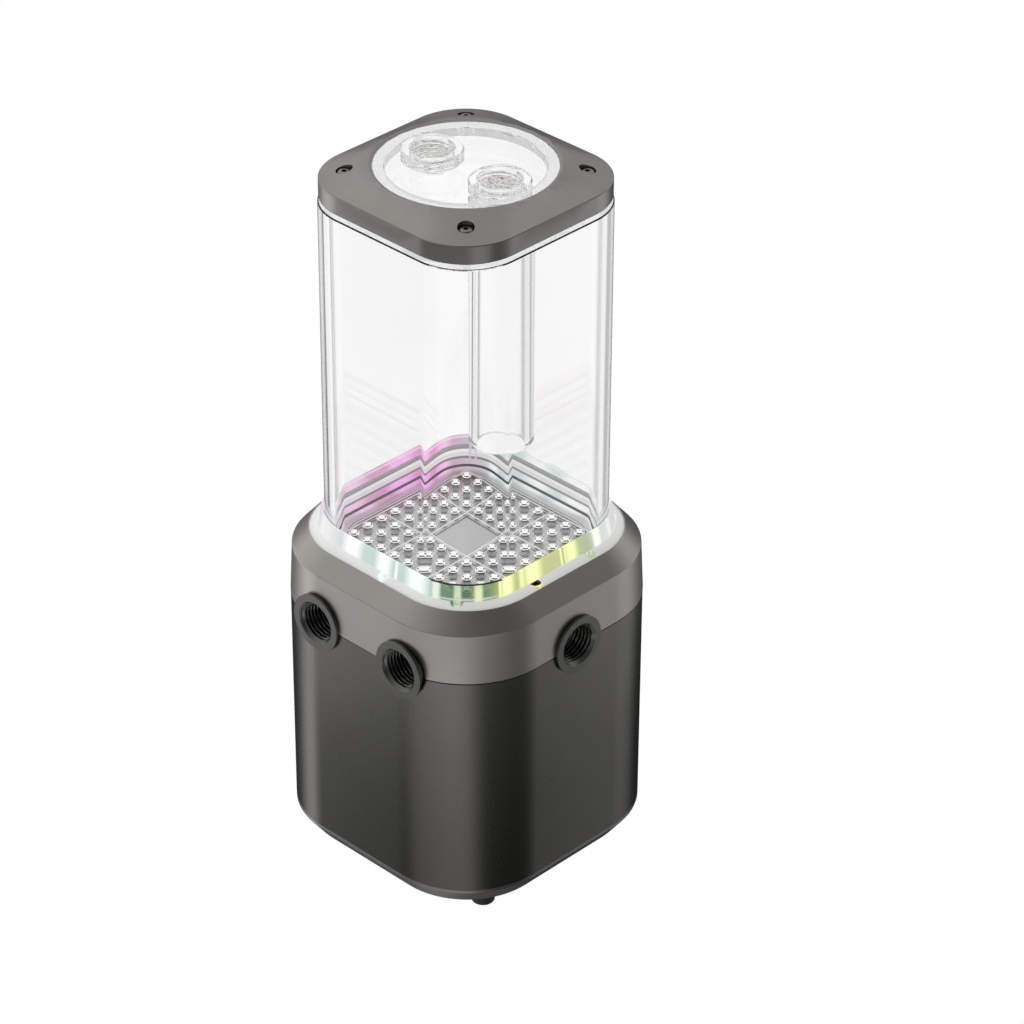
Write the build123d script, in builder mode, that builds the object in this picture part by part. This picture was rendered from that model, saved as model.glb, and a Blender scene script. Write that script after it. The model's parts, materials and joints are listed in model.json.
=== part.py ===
from build123d import *
import os
import math

# Coolant pump reservoir: a clear rounded-square reservoir standing on a lit collar,
# above a dark sleeve that holds a canned-motor centrifugal pump.
# Millimetres, +Z up, origin on the reservoir's axis at the underside of the feet.
# The face with two side ports looks to -Y, the face with one side port to +X.

# ---------------------------------------------------------------- driving sizes
# levels, all from the underside of the feet
Z_FOOT_TOP = 4.16        # feet end here, bottom plate begins
Z_PLATE_EDGE = 9.84      # bottom plate: end of the undercut, start of its upright edge
Z_SLEEVE_BOT = 11.0
Z_SLEEVE_TOP = 86.7
Z_COLLAR_BOT = 87.0
Z_COLLAR_SHOULDER = 103.2
Z_COLLAR_TOP = 109.0
Z_TUBE_BOT = 99.7
Z_TUBE_TOP = 219.4
Z_CAP_BOT = 221.2
Z_CAP_EDGE = 226.9
Z_CAP_RIM = 230.9

# rounded-square outlines: half width and corner radius, corner centres shared
A_CAP, R_CAP = 35.4, 18.5
A_TUBE, R_TUBE = 35.65, 18.6
WALL_TUBE = 3.0
A_COLLAR_IN, R_COLLAR_IN = 40.68, 23.7
A_COLLAR_SH, R_COLLAR_SH = 45.8, 28.9
A_COLLAR_BOT, R_COLLAR_BOT = 46.45, 29.3
A_SLEEVE, R_SLEEVE = 46.35, 29.1
WALL_SLEEVE = 2.0
A_PLATE, R_PLATE = 46.3, 29.0
A_PLATE_LOW, R_PLATE_LOW = 42.0, 24.9

# lid and cap
R_OPENING = 26.9         # round window in the cap
R_RIM = 27.85            # outer edge of the bevel round the window
Z_BEVEL = 230.65
WALL_CAP = 1.4
Z_CAP_LIP = 229.6        # underside of the lip round the window
R_WELL = 23.4            # round well in the lid
Z_WELL = 227.6
Z_LID_TOP = 230.5
Z_LID_BOT = 219.45
PORT_TOP_X = 13.7        # the two top ports stand at -X and +X
R_BOSS = 9.25
Z_BOSS = 231.0
R_TAP = 5.75             # tapped wall of a G1/4 hole before the thread is cut
SCREW_XY = 24.6          # cap screws
R_PAD = 3.7              # pads under the screw heads

# dip tube
R_DIP = 9.1
R_DIP_IN = 6.3
Z_DIP_BOT = 145.0

# side ports, on the seam between sleeve and collar
Z_PORT = 87.4
PORT_LEFT_X = -16.8
PORT_RIGHT_X = 18.7
PORT_FACE = 47.5         # outer face of the inserts, from the axis
R_PORT_COLLAR = 9.3
R_PORT_BODY = 8.3
PORT_LENGTH = 13.0

# floor of the reservoir
Z_FLOOR = 105.8          # top of the clear floor grid
DOT_PITCH = 5.8
TILE = 17.4

# pump block
A_BLOCK, R_BLOCK = 43.9, 26.6
Z_BLOCK_BOT = 78.0
Z_BLOCK_TOP = 98.6
A_PLUG, R_PLUG = 32.2, 15.2
Z_PLUG_TOP = 103.2
R_CHAMBER = 24.5
Z_CHAMBER_TOP = 92.0

# pump
R_FLANGE = 31.0
R_CAN = 28.5
Z_CAN_BOT = 32.0
R_BOWL = 22.0            # separation cup, inside radius
Z_BALL = 76.0            # centre of the bearing ball, and of the bowl
R_BALL = 3.0

# feet and tie rods
FOOT_X, FOOT_Y, R_FOOT = 33.9, 27.1, 3.65
ROD_X, ROD_Y = 26.0, 34.0

os.makedirs("parts", exist_ok=True)


def save(built, name):
    built.part.label = name
    export_step(built.part, "parts/" + name + ".step")
    print(name, len(built.part.solids()), round(built.part.volume))


# ---------------------------------------------------------------- top cap frame
# the frame is a thin shell: its outer and inner slopes run from a round window down
# to a rounded square, and both outlines have eight edges that start at the same
# place, so the surfaces run straight up


def square_outline(a, r, quarter):
    corner = a - r
    turned = Rot(0, 0, 90 * quarter)
    start, end = turned * Vertex(a, -corner, 0), turned * Vertex(a, corner, 0)
    middle = turned * Vertex(corner, corner, 0)
    Line(start.center(), end.center())
    CenterArc(middle.center(), r, 90 * quarter, 90)


def round_outline(radius, a, r, quarter):
    swing = math.degrees(math.atan2(a - r, a))
    CenterArc((0, 0), radius, 90 * quarter - swing, 2 * swing)
    CenterArc((0, 0), radius, 90 * quarter + swing, 90 - 2 * swing)


A_CAP_IN, R_CAP_IN = A_CAP - WALL_CAP, R_CAP - WALL_CAP
Z_CAP_IN = Z_CAP_EDGE - 1.5
Z_HEAD = Z_CAP_RIM - 3.9     # floor of the counterbores

with BuildPart() as cap_hollow:
    with BuildSketch(Plane.XY.offset(Z_CAP_IN)):
        with BuildLine():
            for quarter in range(4):
                square_outline(A_CAP_IN, R_CAP_IN, quarter)
        make_face()
    with BuildSketch(Plane.XY.offset(Z_CAP_LIP)):
        with BuildLine():
            for quarter in range(4):
                round_outline(R_OPENING, A_CAP_IN, R_CAP_IN, quarter)
        make_face()
    loft()
    with BuildSketch(Plane.XY.offset(Z_CAP_BOT - 1)):
        RectangleRounded(2 * A_CAP_IN, 2 * A_CAP_IN, R_CAP_IN)
    extrude(amount=Z_CAP_IN - Z_CAP_BOT + 1)
    # pads under the screw heads stay
    with BuildSketch(Plane.XY.offset(Z_HEAD - 1.4)):
        with GridLocations(2 * SCREW_XY, 2 * SCREW_XY, 2, 2):
            Circle(R_PAD)
    extrude(amount=10, mode=Mode.SUBTRACT)

with BuildPart() as top_cap_frame:
    with BuildSketch(Plane.XY.offset(Z_CAP_EDGE)):
        with BuildLine():
            for quarter in range(4):
                square_outline(A_CAP, R_CAP, quarter)
        make_face()
    with BuildSketch(Plane.XY.offset(Z_CAP_RIM)):
        with BuildLine():
            for quarter in range(4):
                round_outline(R_RIM, A_CAP, R_CAP, quarter)
        make_face()
    loft()
    with BuildSketch(Plane.XY.offset(Z_CAP_BOT)):
        RectangleRounded(2 * A_CAP, 2 * A_CAP, R_CAP)
    extrude(amount=Z_CAP_EDGE - Z_CAP_BOT)
    add(cap_hollow.part, mode=Mode.SUBTRACT)
    # round window with its bevel
    with BuildSketch(Plane.XY.offset(Z_CAP_LIP - 2)):
        Circle(R_OPENING)
    extrude(amount=12, mode=Mode.SUBTRACT)
    with BuildSketch(Plane.XY.offset(Z_BEVEL)):
        Circle(R_OPENING)
    with BuildSketch(Plane.XY.offset(Z_CAP_RIM + 0.001)):
        Circle(R_RIM - 0.05)
    loft(mode=Mode.SUBTRACT)
    # counterbored screw holes
    with Locations((0, 0, Z_CAP_RIM)):
        with GridLocations(2 * SCREW_XY, 2 * SCREW_XY, 2, 2):
            CounterBoreHole(radius=1.6, counter_bore_radius=2.5, counter_bore_depth=Z_CAP_RIM - Z_HEAD, depth=14)
save(top_cap_frame, "top_cap_frame")

# cap screws: button heads sunk in the counterbores
with BuildPart() as top_cap_screws:
    with GridLocations(2 * SCREW_XY, 2 * SCREW_XY, 2, 2):
        with Locations((0, 0, Z_HEAD)):
            Cylinder(2.05, 1.5, align=(Align.CENTER, Align.CENTER, Align.MIN))
            Cylinder(1.45, 6.0, align=(Align.CENTER, Align.CENTER, Align.MAX))
    with BuildSketch(Plane.XY.offset(Z_HEAD + 1.5)):
        with GridLocations(2 * SCREW_XY, 2 * SCREW_XY, 2, 2):
            RegularPolygon(0.85, 6)
    extrude(amount=-1.0, mode=Mode.SUBTRACT)
save(top_cap_screws, "top_cap_screws")

# ---------------------------------------------------------------- lid
# a clear plate bonded on the tube, shaped above to fill the thin frame
A_LID, R_LID = A_CAP_IN - 0.1, R_CAP_IN - 0.1
with BuildPart() as reservoir_lid:
    with BuildSketch(Plane.XY.offset(Z_LID_BOT)):
        RectangleRounded(2 * 35.3, 2 * 35.3, 18.4)
    extrude(amount=Z_CAP_BOT - 0.05 - Z_LID_BOT)
    with BuildSketch(Plane.XY.offset(Z_LID_BOT)):
        RectangleRounded(2 * A_LID, 2 * A_LID, R_LID)
    extrude(amount=Z_CAP_IN - 0.1 - Z_LID_BOT)
    with BuildSketch(Plane.XY.offset(Z_CAP_IN - 0.1)):
        with BuildLine():
            for quarter in range(4):
                square_outline(A_LID, R_LID, quarter)
        make_face()
    with BuildSketch(Plane.XY.offset(Z_CAP_LIP - 0.1)):
        with BuildLine():
            for quarter in range(4):
                round_outline(R_OPENING - 0.1, A_LID, R_LID, quarter)
        make_face()
    loft()
    with BuildSketch(Plane.XY.offset(Z_CAP_BOT)):
        Circle(R_OPENING - 0.1)
    extrude(amount=Z_LID_TOP - Z_CAP_BOT)
    # the well, and the two port bosses that stand in it
    with BuildSketch(Plane.XY.offset(Z_WELL)):
        Circle(R_WELL)
    extrude(amount=10, mode=Mode.SUBTRACT)
    with BuildSketch(Plane.XY.offset(Z_LID_BOT)):
        with Locations((-PORT_TOP_X, 0), (PORT_TOP_X, 0)):
            Circle(R_BOSS)
    extrude(amount=Z_BOSS - Z_LID_BOT)
    chamfer(reservoir_lid.faces().group_by(Axis.Z)[-1].edges(), 0.5)
    # tapped ports, tap drill right through
    with Locations((-PORT_TOP_X, 0, Z_BOSS), (PORT_TOP_X, 0, Z_BOSS)):
        Hole(R_TAP, 20)
    # pockets for the frame's pads, and screw holes that stop short of the reservoir
    with BuildSketch(Plane.XY.offset(Z_HEAD - 1.5)):
        with GridLocations(2 * SCREW_XY, 2 * SCREW_XY, 2, 2):
            Circle(R_PAD + 0.1)
    extrude(amount=10, mode=Mode.SUBTRACT)
    with BuildSketch(Plane.XY.offset(Z_HEAD - 6.2)):
        with GridLocations(2 * SCREW_XY, 2 * SCREW_XY, 2, 2):
            Circle(1.5)
    extrude(amount=10, mode=Mode.SUBTRACT)
save(reservoir_lid, "reservoir_lid")

# dip tube: bonded under the right-hand port
with BuildPart() as dip_tube:
    with BuildSketch(Plane.XY.offset(Z_DIP_BOT)):
        with Locations((PORT_TOP_X, 0)):
            Circle(R_DIP)
            Circle(R_DIP_IN, mode=Mode.SUBTRACT)
    extrude(amount=Z_LID_BOT - Z_DIP_BOT)
    fillet(dip_tube.faces().sort_by(Axis.Z)[0].edges(), 1.1)
save(dip_tube, "dip_tube")

# ---------------------------------------------------------------- reservoir tube
with BuildPart() as reservoir_tube:
    with BuildSketch(Plane.XY.offset(Z_TUBE_BOT)):
        RectangleRounded(2 * A_TUBE, 2 * A_TUBE, R_TUBE)
        RectangleRounded(2 * (A_TUBE - WALL_TUBE), 2 * (A_TUBE - WALL_TUBE), R_TUBE - WALL_TUBE, mode=Mode.SUBTRACT)
    extrude(amount=Z_TUBE_TOP - Z_TUBE_BOT)
save(reservoir_tube, "reservoir_tube")

with BuildPart() as tube_foot_gasket:
    with BuildSketch(Plane.XY.offset(Z_BLOCK_TOP)):
        RectangleRounded(2 * 35.5, 2 * 35.5, 18.5)
        RectangleRounded(2 * 32.8, 2 * 32.8, 15.8, mode=Mode.SUBTRACT)
    extrude(amount=Z_TUBE_BOT - Z_BLOCK_TOP)
save(tube_foot_gasket, "tube_foot_gasket")

# ---------------------------------------------------------------- pump block
with BuildPart() as pump_block:
    with BuildSketch(Plane.XY.offset(Z_BLOCK_BOT)):
        RectangleRounded(2 * A_BLOCK, 2 * A_BLOCK, R_BLOCK)
    extrude(amount=Z_BLOCK_TOP - Z_BLOCK_BOT)
    with BuildSketch(Plane.XY.offset(Z_BLOCK_TOP)):
        RectangleRounded(2 * A_PLUG, 2 * A_PLUG, R_PLUG)
    extrude(amount=Z_PLUG_TOP - Z_BLOCK_TOP)
    # groove for the plug seal
    with BuildSketch(Plane.XY.offset(100.2)):
        RectangleRounded(70, 70, 17)
        RectangleRounded(2 * 30.6, 2 * 30.6, 13.6, mode=Mode.SUBTRACT)
    extrude(amount=2.2, mode=Mode.SUBTRACT)
    # round pump chamber, open below
    with BuildSketch(Plane.XY.offset(Z_BLOCK_BOT)):
        Circle(R_CHAMBER)
    extrude(amount=Z_CHAMBER_TOP - Z_BLOCK_BOT, mode=Mode.SUBTRACT)
    # suction eye up to the floor recess
    with BuildSketch(Plane.XY.offset(Z_CHAMBER_TOP)):
        Circle(8.0)
    extrude(amount=20, mode=Mode.SUBTRACT)
    with BuildSketch(Plane.XY.offset(Z_PLUG_TOP - 2.2)):
        RectangleRounded(2 * 28.6, 2 * 28.6, 11.6)
    extrude(amount=5, mode=Mode.SUBTRACT)
    # front ports: the left one returns to the reservoir, the right one leaves the volute
    with BuildSketch(Plane(origin=(0, -A_BLOCK - 1, Z_PORT), x_dir=(1, 0, 0), z_dir=(0, 1, 0))):
        with Locations((PORT_LEFT_X, 0), (PORT_RIGHT_X, 0)):
            Circle(R_PORT_BODY)
    extrude(amount=PORT_LENGTH - 2.0, mode=Mode.SUBTRACT)
    with BuildSketch(Plane(origin=(0, -34.0, Z_PORT), x_dir=(1, 0, 0), z_dir=(0, 1, 0))):
        with Locations((PORT_LEFT_X, 0)):
            Circle(4.4)
    extrude(amount=7.6, mode=Mode.SUBTRACT)
    with BuildSketch(Plane(origin=(0, -34.0, Z_PORT), x_dir=(1, 0, 0), z_dir=(0, 1, 0))):
        with Locations((PORT_RIGHT_X, 0)):
            Circle(4.4)
    extrude(amount=20.0, mode=Mode.SUBTRACT)
    with BuildSketch(Plane.XY.offset(Z_PORT)):
        with Locations((PORT_LEFT_X, -27.4)):
            Circle(3.4)
    extrude(amount=20, mode=Mode.SUBTRACT)
    # side port on +X, a fill and drain opening into the reservoir
    with BuildSketch(Plane(origin=(A_BLOCK + 1, 0, Z_PORT), x_dir=(0, 1, 0), z_dir=(-1, 0, 0))):
        Circle(R_PORT_BODY)
    extrude(amount=PORT_LENGTH - 2.0, mode=Mode.SUBTRACT)
    with BuildSketch(Plane(origin=(34.0, 0, Z_PORT), x_dir=(0, 1, 0), z_dir=(-1, 0, 0))):
        Circle(3.0)
    extrude(amount=6.2, mode=Mode.SUBTRACT)
    with BuildSketch(Plane.XY.offset(Z_PORT)):
        with Locations((28.3, 0)):
            Circle(2.4)
    extrude(amount=20, mode=Mode.SUBTRACT)
    # tie-rod and light-guide screw holes
    with Locations((0, 0, Z_BLOCK_BOT)):
        with GridLocations(2 * ROD_X, 2 * ROD_Y, 2, 2):
            Cylinder(2.0, 3.6, align=(Align.CENTER, Align.CENTER, Align.MIN), mode=Mode.SUBTRACT)
    # clamp-screw holes
    with Locations((0, 0, Z_BLOCK_BOT)):
        with PolarLocations(34.6, 8, start_angle=22.5):
            Cylinder(1.6, 5.0, align=(Align.CENTER, Align.CENTER, Align.MIN), mode=Mode.SUBTRACT)
save(pump_block, "pump_block")

with BuildPart() as plug_seal:
    with BuildSketch(Plane.XY.offset(100.3)):
        RectangleRounded(2 * 32.6, 2 * 32.6, 15.6)
        RectangleRounded(2 * 30.7, 2 * 30.7, 13.7, mode=Mode.SUBTRACT)
    extrude(amount=2.0)
    fillet(plug_seal.edges().filter_by(Plane.XY), 0.5)
save(plug_seal, "plug_seal")

# floor: a bright plate, and the clear grid of dimples that lies on it
with BuildPart() as floor_plate:
    with BuildSketch(Plane.XY.offset(Z_PLUG_TOP)):
        RectangleRounded(2 * 32.1, 2 * 32.1, 15.1)
    extrude(amount=0.9)
    # slots over the recess let the coolant through to the pump
    with BuildSketch(Plane.XY.offset(Z_PLUG_TOP)):
        with Locations((0, 27.6), (0, -27.6)):
            SlotOverall(30.0, 1.6)
        with Locations((27.6, 0), (-27.6, 0)):
            SlotOverall(30.0, 1.6, rotation=90)
    extrude(amount=0.9, mode=Mode.SUBTRACT)
save(floor_plate, "floor_plate")

Z_GRID = Z_PLUG_TOP + 0.9
with BuildPart() as floor_grid:
    with BuildSketch(Plane.XY.offset(Z_GRID)):
        RectangleRounded(2 * 32.1, 2 * 32.1, 15.1)
        with Locations((0, 27.6), (0, -27.6)):
            SlotOverall(30.0, 1.6, mode=Mode.SUBTRACT)
        with Locations((27.6, 0), (-27.6, 0)):
            SlotOverall(30.0, 1.6, rotation=90, mode=Mode.SUBTRACT)
    extrude(amount=Z_FLOOR - Z_GRID)
    # fine ridges that divide the grid into nine tiles
    with BuildSketch(Plane.XY.offset(Z_FLOOR)):
        for s in (-0.5, 0.5):
            with Locations((s * TILE, 0)):
                Rectangle(0.5, 3 * TILE)
            with Locations((0, s * TILE)):
                Rectangle(3 * TILE, 0.5)
    extrude(amount=0.35)
    # dimple pegs, nine to a tile, none on the middle tile
    pegs = [
        (i * DOT_PITCH, j * DOT_PITCH)
        for i in range(-4, 5)
        for j in range(-4, 5)
        if max(abs(i), abs(j)) > 1
    ]
    with BuildSketch(Plane.XY.offset(Z_FLOOR)):
        with Locations(*pegs):
            Circle(1.5)
    extrude(amount=0.9, taper=25)
save(floor_grid, "floor_grid")

# soft seal round the edge of the floor, against the wall of the tube
with BuildPart() as floor_seal:
    with BuildSketch(Plane.XY.offset(Z_GRID + 0.1)):
        RectangleRounded(2 * 32.6, 2 * 32.6, 15.55)
        RectangleRounded(2 * 32.15, 2 * 32.15, 15.15, mode=Mode.SUBTRACT)
    extrude(amount=Z_FLOOR - Z_GRID - 0.2)
save(floor_seal, "floor_seal")

# ---------------------------------------------------------------- light ring
with BuildPart() as light_guide:
    with BuildSketch(Plane.XY.offset(107.4)):
        RectangleRounded(2 * 38.2, 2 * 38.2, 21.3)
    with BuildSketch(Plane.XY.offset(115.3)):
        RectangleRounded(2 * 36.75, 2 * 36.75, 19.7)
    loft()
    with BuildSketch(Plane.XY.offset(101.4)):
        RectangleRounded(2 * 40.3, 2 * 40.3, 23.3)
    extrude(amount=6.0)
    with BuildSketch(Plane.XY.offset(100.0)):
        RectangleRounded(2 * 35.95, 2 * 35.95, 18.9)
    extrude(amount=30, mode=Mode.SUBTRACT)
    # screw bosses on the foot of the slope
    GUIDE_SCREWS = [
        (4.2, -39.0), (29.9, -34.0), (39.0, -10.0), (39.0, 13.5),
        (-4.2, 39.0), (-29.9, 34.0), (-39.0, 10.0), (-39.0, -13.5),
    ]
    with BuildSketch(Plane.XY.offset(107.4)):
        with Locations(*[(x * 0.985, y * 0.985) for x, y in GUIDE_SCREWS]):
            Circle(1.9)
    extrude(amount=2.4)
    with BuildSketch(Plane.XY.offset(100.0)):
        RectangleRounded(2 * 35.95, 2 * 35.95, 18.9)
    extrude(amount=30, mode=Mode.SUBTRACT)
    with Locations(*[(x, y, 110.2) for x, y in GUIDE_SCREWS]):
        Hole(0.95, 10.3)
save(light_guide, "light_guide")

with BuildPart() as light_guide_screws:
    with Locations(*[(x, y, 107.2) for x, y in GUIDE_SCREWS]):
        Cylinder(0.85, 7.6, align=(Align.CENTER, Align.CENTER, Align.MAX))
save(light_guide_screws, "light_guide_screws")

with BuildPart() as led_board:
    with BuildSketch(Plane.XY.offset(98.6)):
        RectangleRounded(2 * 40.2, 2 * 40.2, 23.2)
        RectangleRounded(2 * 35.9, 2 * 35.9, 18.9, mode=Mode.SUBTRACT)
    extrude(amount=1.4)
    with Locations(*[(x, y, 100.0) for x, y in GUIDE_SCREWS]):
        Hole(1.0, 3)
save(led_board, "led_board")

LED_SPOTS = [(-12.0, -38.1), (15.5, -38.1), (38.1, -19.0), (38.1, 3.0), (38.1, 20.0)]
LED_SPOTS += [(-x, -y) for x, y in LED_SPOTS] + [(31.9, -31.9), (-31.9, 31.9)]
with BuildPart() as led_chips:
    with Locations(*[(x, y, 100.0) for x, y in LED_SPOTS]):
        Box(2.6, 2.6, 1.1, align=(Align.CENTER, Align.CENTER, Align.MIN))
save(led_chips, "led_chips")

# sloping white ring between the clear ring and the collar, notched for the bosses
with BuildPart() as diffuser_rim:
    with BuildSketch(Plane.XY.offset(107.5)):
        RectangleRounded(2 * 40.45, 2 * 40.45, 23.45)
    extrude(amount=1.2)
    with BuildSketch(Plane.XY.offset(108.7)):
        RectangleRounded(2 * 40.45, 2 * 40.45, 23.45)
    with BuildSketch(Plane.XY.offset(110.3)):
        RectangleRounded(2 * 38.0, 2 * 38.0, 21.0)
    loft()
    with BuildSketch(Plane.XY.offset(107.3)):
        RectangleRounded(2 * 38.32, 2 * 38.32, 21.42)
    with BuildSketch(Plane.XY.offset(111.0)):
        RectangleRounded(2 * 37.64, 2 * 37.64, 20.67)
    loft(mode=Mode.SUBTRACT)
    with BuildSketch(Plane.XY.offset(107.0)):
        with Locations(*[(x * 0.985, y * 0.985) for x, y in GUIDE_SCREWS]):
            Circle(2.0)
    extrude(amount=6, mode=Mode.SUBTRACT)
save(diffuser_rim, "diffuser_rim")

# ---------------------------------------------------------------- collar ring
with BuildPart() as collar_ring:
    with BuildSketch(Plane.XY.offset(Z_COLLAR_BOT)):
        RectangleRounded(2 * A_COLLAR_BOT, 2 * A_COLLAR_BOT, R_COLLAR_BOT)
    with BuildSketch(Plane.XY.offset(Z_COLLAR_SHOULDER)):
        RectangleRounded(2 * A_COLLAR_SH, 2 * A_COLLAR_SH, R_COLLAR_SH)
    loft()
    with BuildSketch(Plane.XY.offset(Z_COLLAR_SHOULDER)):
        RectangleRounded(2 * A_COLLAR_SH, 2 * A_COLLAR_SH, R_COLLAR_SH)
    with BuildSketch(Plane.XY.offset(Z_COLLAR_TOP)):
        RectangleRounded(2 * A_COLLAR_IN, 2 * A_COLLAR_IN, R_COLLAR_IN)
    loft()
    with BuildSketch(Plane.XY.offset(Z_COLLAR_BOT - 1)):
        RectangleRounded(2 * 44.2, 2 * 44.2, 26.9)
    extrude(amount=Z_BLOCK_TOP + 0.3 - Z_COLLAR_BOT + 1, mode=Mode.SUBTRACT)
    with BuildSketch(Plane.XY.offset(Z_COLLAR_BOT - 1)):
        RectangleRounded(2 * 40.5, 2 * 40.5, 23.5)
    extrude(amount=40, mode=Mode.SUBTRACT)
    # half-round notches for the side ports
    with BuildSketch(Plane(origin=(0, -60, Z_PORT), x_dir=(1, 0, 0), z_dir=(0, 1, 0))):
        with Locations((PORT_LEFT_X, 0), (PORT_RIGHT_X, 0)):
            Circle(R_PORT_BODY + 0.2)
    extrude(amount=40, mode=Mode.SUBTRACT)
    with BuildSketch(Plane(origin=(60, 0, Z_PORT), x_dir=(0, 1, 0), z_dir=(-1, 0, 0))):
        Circle(R_PORT_BODY + 0.2)
    extrude(amount=40, mode=Mode.SUBTRACT)
save(collar_ring, "collar_ring")

with BuildPart() as seam_gasket:
    with BuildSketch(Plane.XY.offset(Z_SLEEVE_TOP)):
        RectangleRounded(2 * 45.9, 2 * 45.9, 28.7)
        RectangleRounded(2 * 44.4, 2 * 44.4, 27.2, mode=Mode.SUBTRACT)
    extrude(amount=Z_COLLAR_BOT - Z_SLEEVE_TOP)
    with BuildSketch(Plane(origin=(0, -60, Z_PORT), x_dir=(1, 0, 0), z_dir=(0, 1, 0))):
        with Locations((PORT_LEFT_X, 0), (PORT_RIGHT_X, 0)):
            Circle(R_PORT_BODY + 0.2)
    extrude(amount=40, mode=Mode.SUBTRACT)
    with BuildSketch(Plane(origin=(60, 0, Z_PORT), x_dir=(0, 1, 0), z_dir=(-1, 0, 0))):
        Circle(R_PORT_BODY + 0.2)
    extrude(amount=40, mode=Mode.SUBTRACT)
save(seam_gasket, "seam_gasket")

# ---------------------------------------------------------------- side port inserts
PORT_PLANES = {
    "port_insert_left": Plane(origin=(PORT_LEFT_X, -PORT_FACE, Z_PORT), x_dir=(1, 0, 0), z_dir=(0, 1, 0)),
    "port_insert_right": Plane(origin=(PORT_RIGHT_X, -PORT_FACE, Z_PORT), x_dir=(1, 0, 0), z_dir=(0, 1, 0)),
    "port_insert_side": Plane(origin=(PORT_FACE, 0, Z_PORT), x_dir=(0, 1, 0), z_dir=(-1, 0, 0)),
}
for port_name, port_plane in PORT_PLANES.items():
    with BuildPart() as insert:
        with BuildSketch(port_plane):
            Circle(R_PORT_COLLAR)
        extrude(amount=1.0)
        with BuildSketch(port_plane.offset(1.0)):
            Circle(R_PORT_BODY - 0.2)
        extrude(amount=PORT_LENGTH - 1.0)
        with BuildSketch(port_plane):
            Circle(R_TAP)
        extrude(amount=PORT_LENGTH, mode=Mode.SUBTRACT)
    save(insert, port_name)

with BuildPart() as port_seals:
    for port_plane in PORT_PLANES.values():
        with BuildSketch(port_plane.offset(PORT_FACE - A_BLOCK + 0.1)):
            Circle(R_PORT_BODY + 0.0)
            Circle(R_PORT_BODY - 0.19, mode=Mode.SUBTRACT)
        extrude(amount=1.6)
save(port_seals, "port_seals")

# ---------------------------------------------------------------- sleeve
with BuildPart() as casing_sleeve:
    with BuildSketch(Plane.XY.offset(Z_SLEEVE_BOT)):
        RectangleRounded(2 * A_SLEEVE, 2 * A_SLEEVE, R_SLEEVE)
        RectangleRounded(2 * (A_SLEEVE - WALL_SLEEVE), 2 * (A_SLEEVE - WALL_SLEEVE), R_SLEEVE - WALL_SLEEVE, mode=Mode.SUBTRACT)
    extrude(amount=Z_SLEEVE_TOP - Z_SLEEVE_BOT)
    with BuildSketch(Plane(origin=(0, -60, Z_PORT), x_dir=(1, 0, 0), z_dir=(0, 1, 0))):
        with Locations((PORT_LEFT_X, 0), (PORT_RIGHT_X, 0)):
            Circle(R_PORT_BODY + 0.2)
    extrude(amount=40, mode=Mode.SUBTRACT)
    with BuildSketch(Plane(origin=(60, 0, Z_PORT), x_dir=(0, 1, 0), z_dir=(-1, 0, 0))):
        Circle(R_PORT_BODY + 0.2)
    extrude(amount=40, mode=Mode.SUBTRACT)
    # cable outlet low in the rear wall
    with BuildSketch(Plane(origin=(0, 60, 20.0), x_dir=(-1, 0, 0), z_dir=(0, -1, 0))):
        SlotOverall(16.0, 7.0)
    extrude(amount=40, mode=Mode.SUBTRACT)
save(casing_sleeve, "casing_sleeve")

with BuildPart() as cable_grommet:
    with BuildSketch(Plane(origin=(0, A_SLEEVE - 0.9, 20.0), x_dir=(-1, 0, 0), z_dir=(0, -1, 0))):
        SlotOverall(15.8, 6.8)
        SlotOverall(12.4, 3.4, mode=Mode.SUBTRACT)
    extrude(amount=1.5)
    with BuildSketch(Plane(origin=(0, A_SLEEVE - 2.05, 20.0), x_dir=(-1, 0, 0), z_dir=(0, -1, 0))):
        SlotOverall(18.4, 9.4)
        SlotOverall(12.4, 3.4, mode=Mode.SUBTRACT)
    extrude(amount=1.2)
save(cable_grommet, "cable_grommet")

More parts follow.
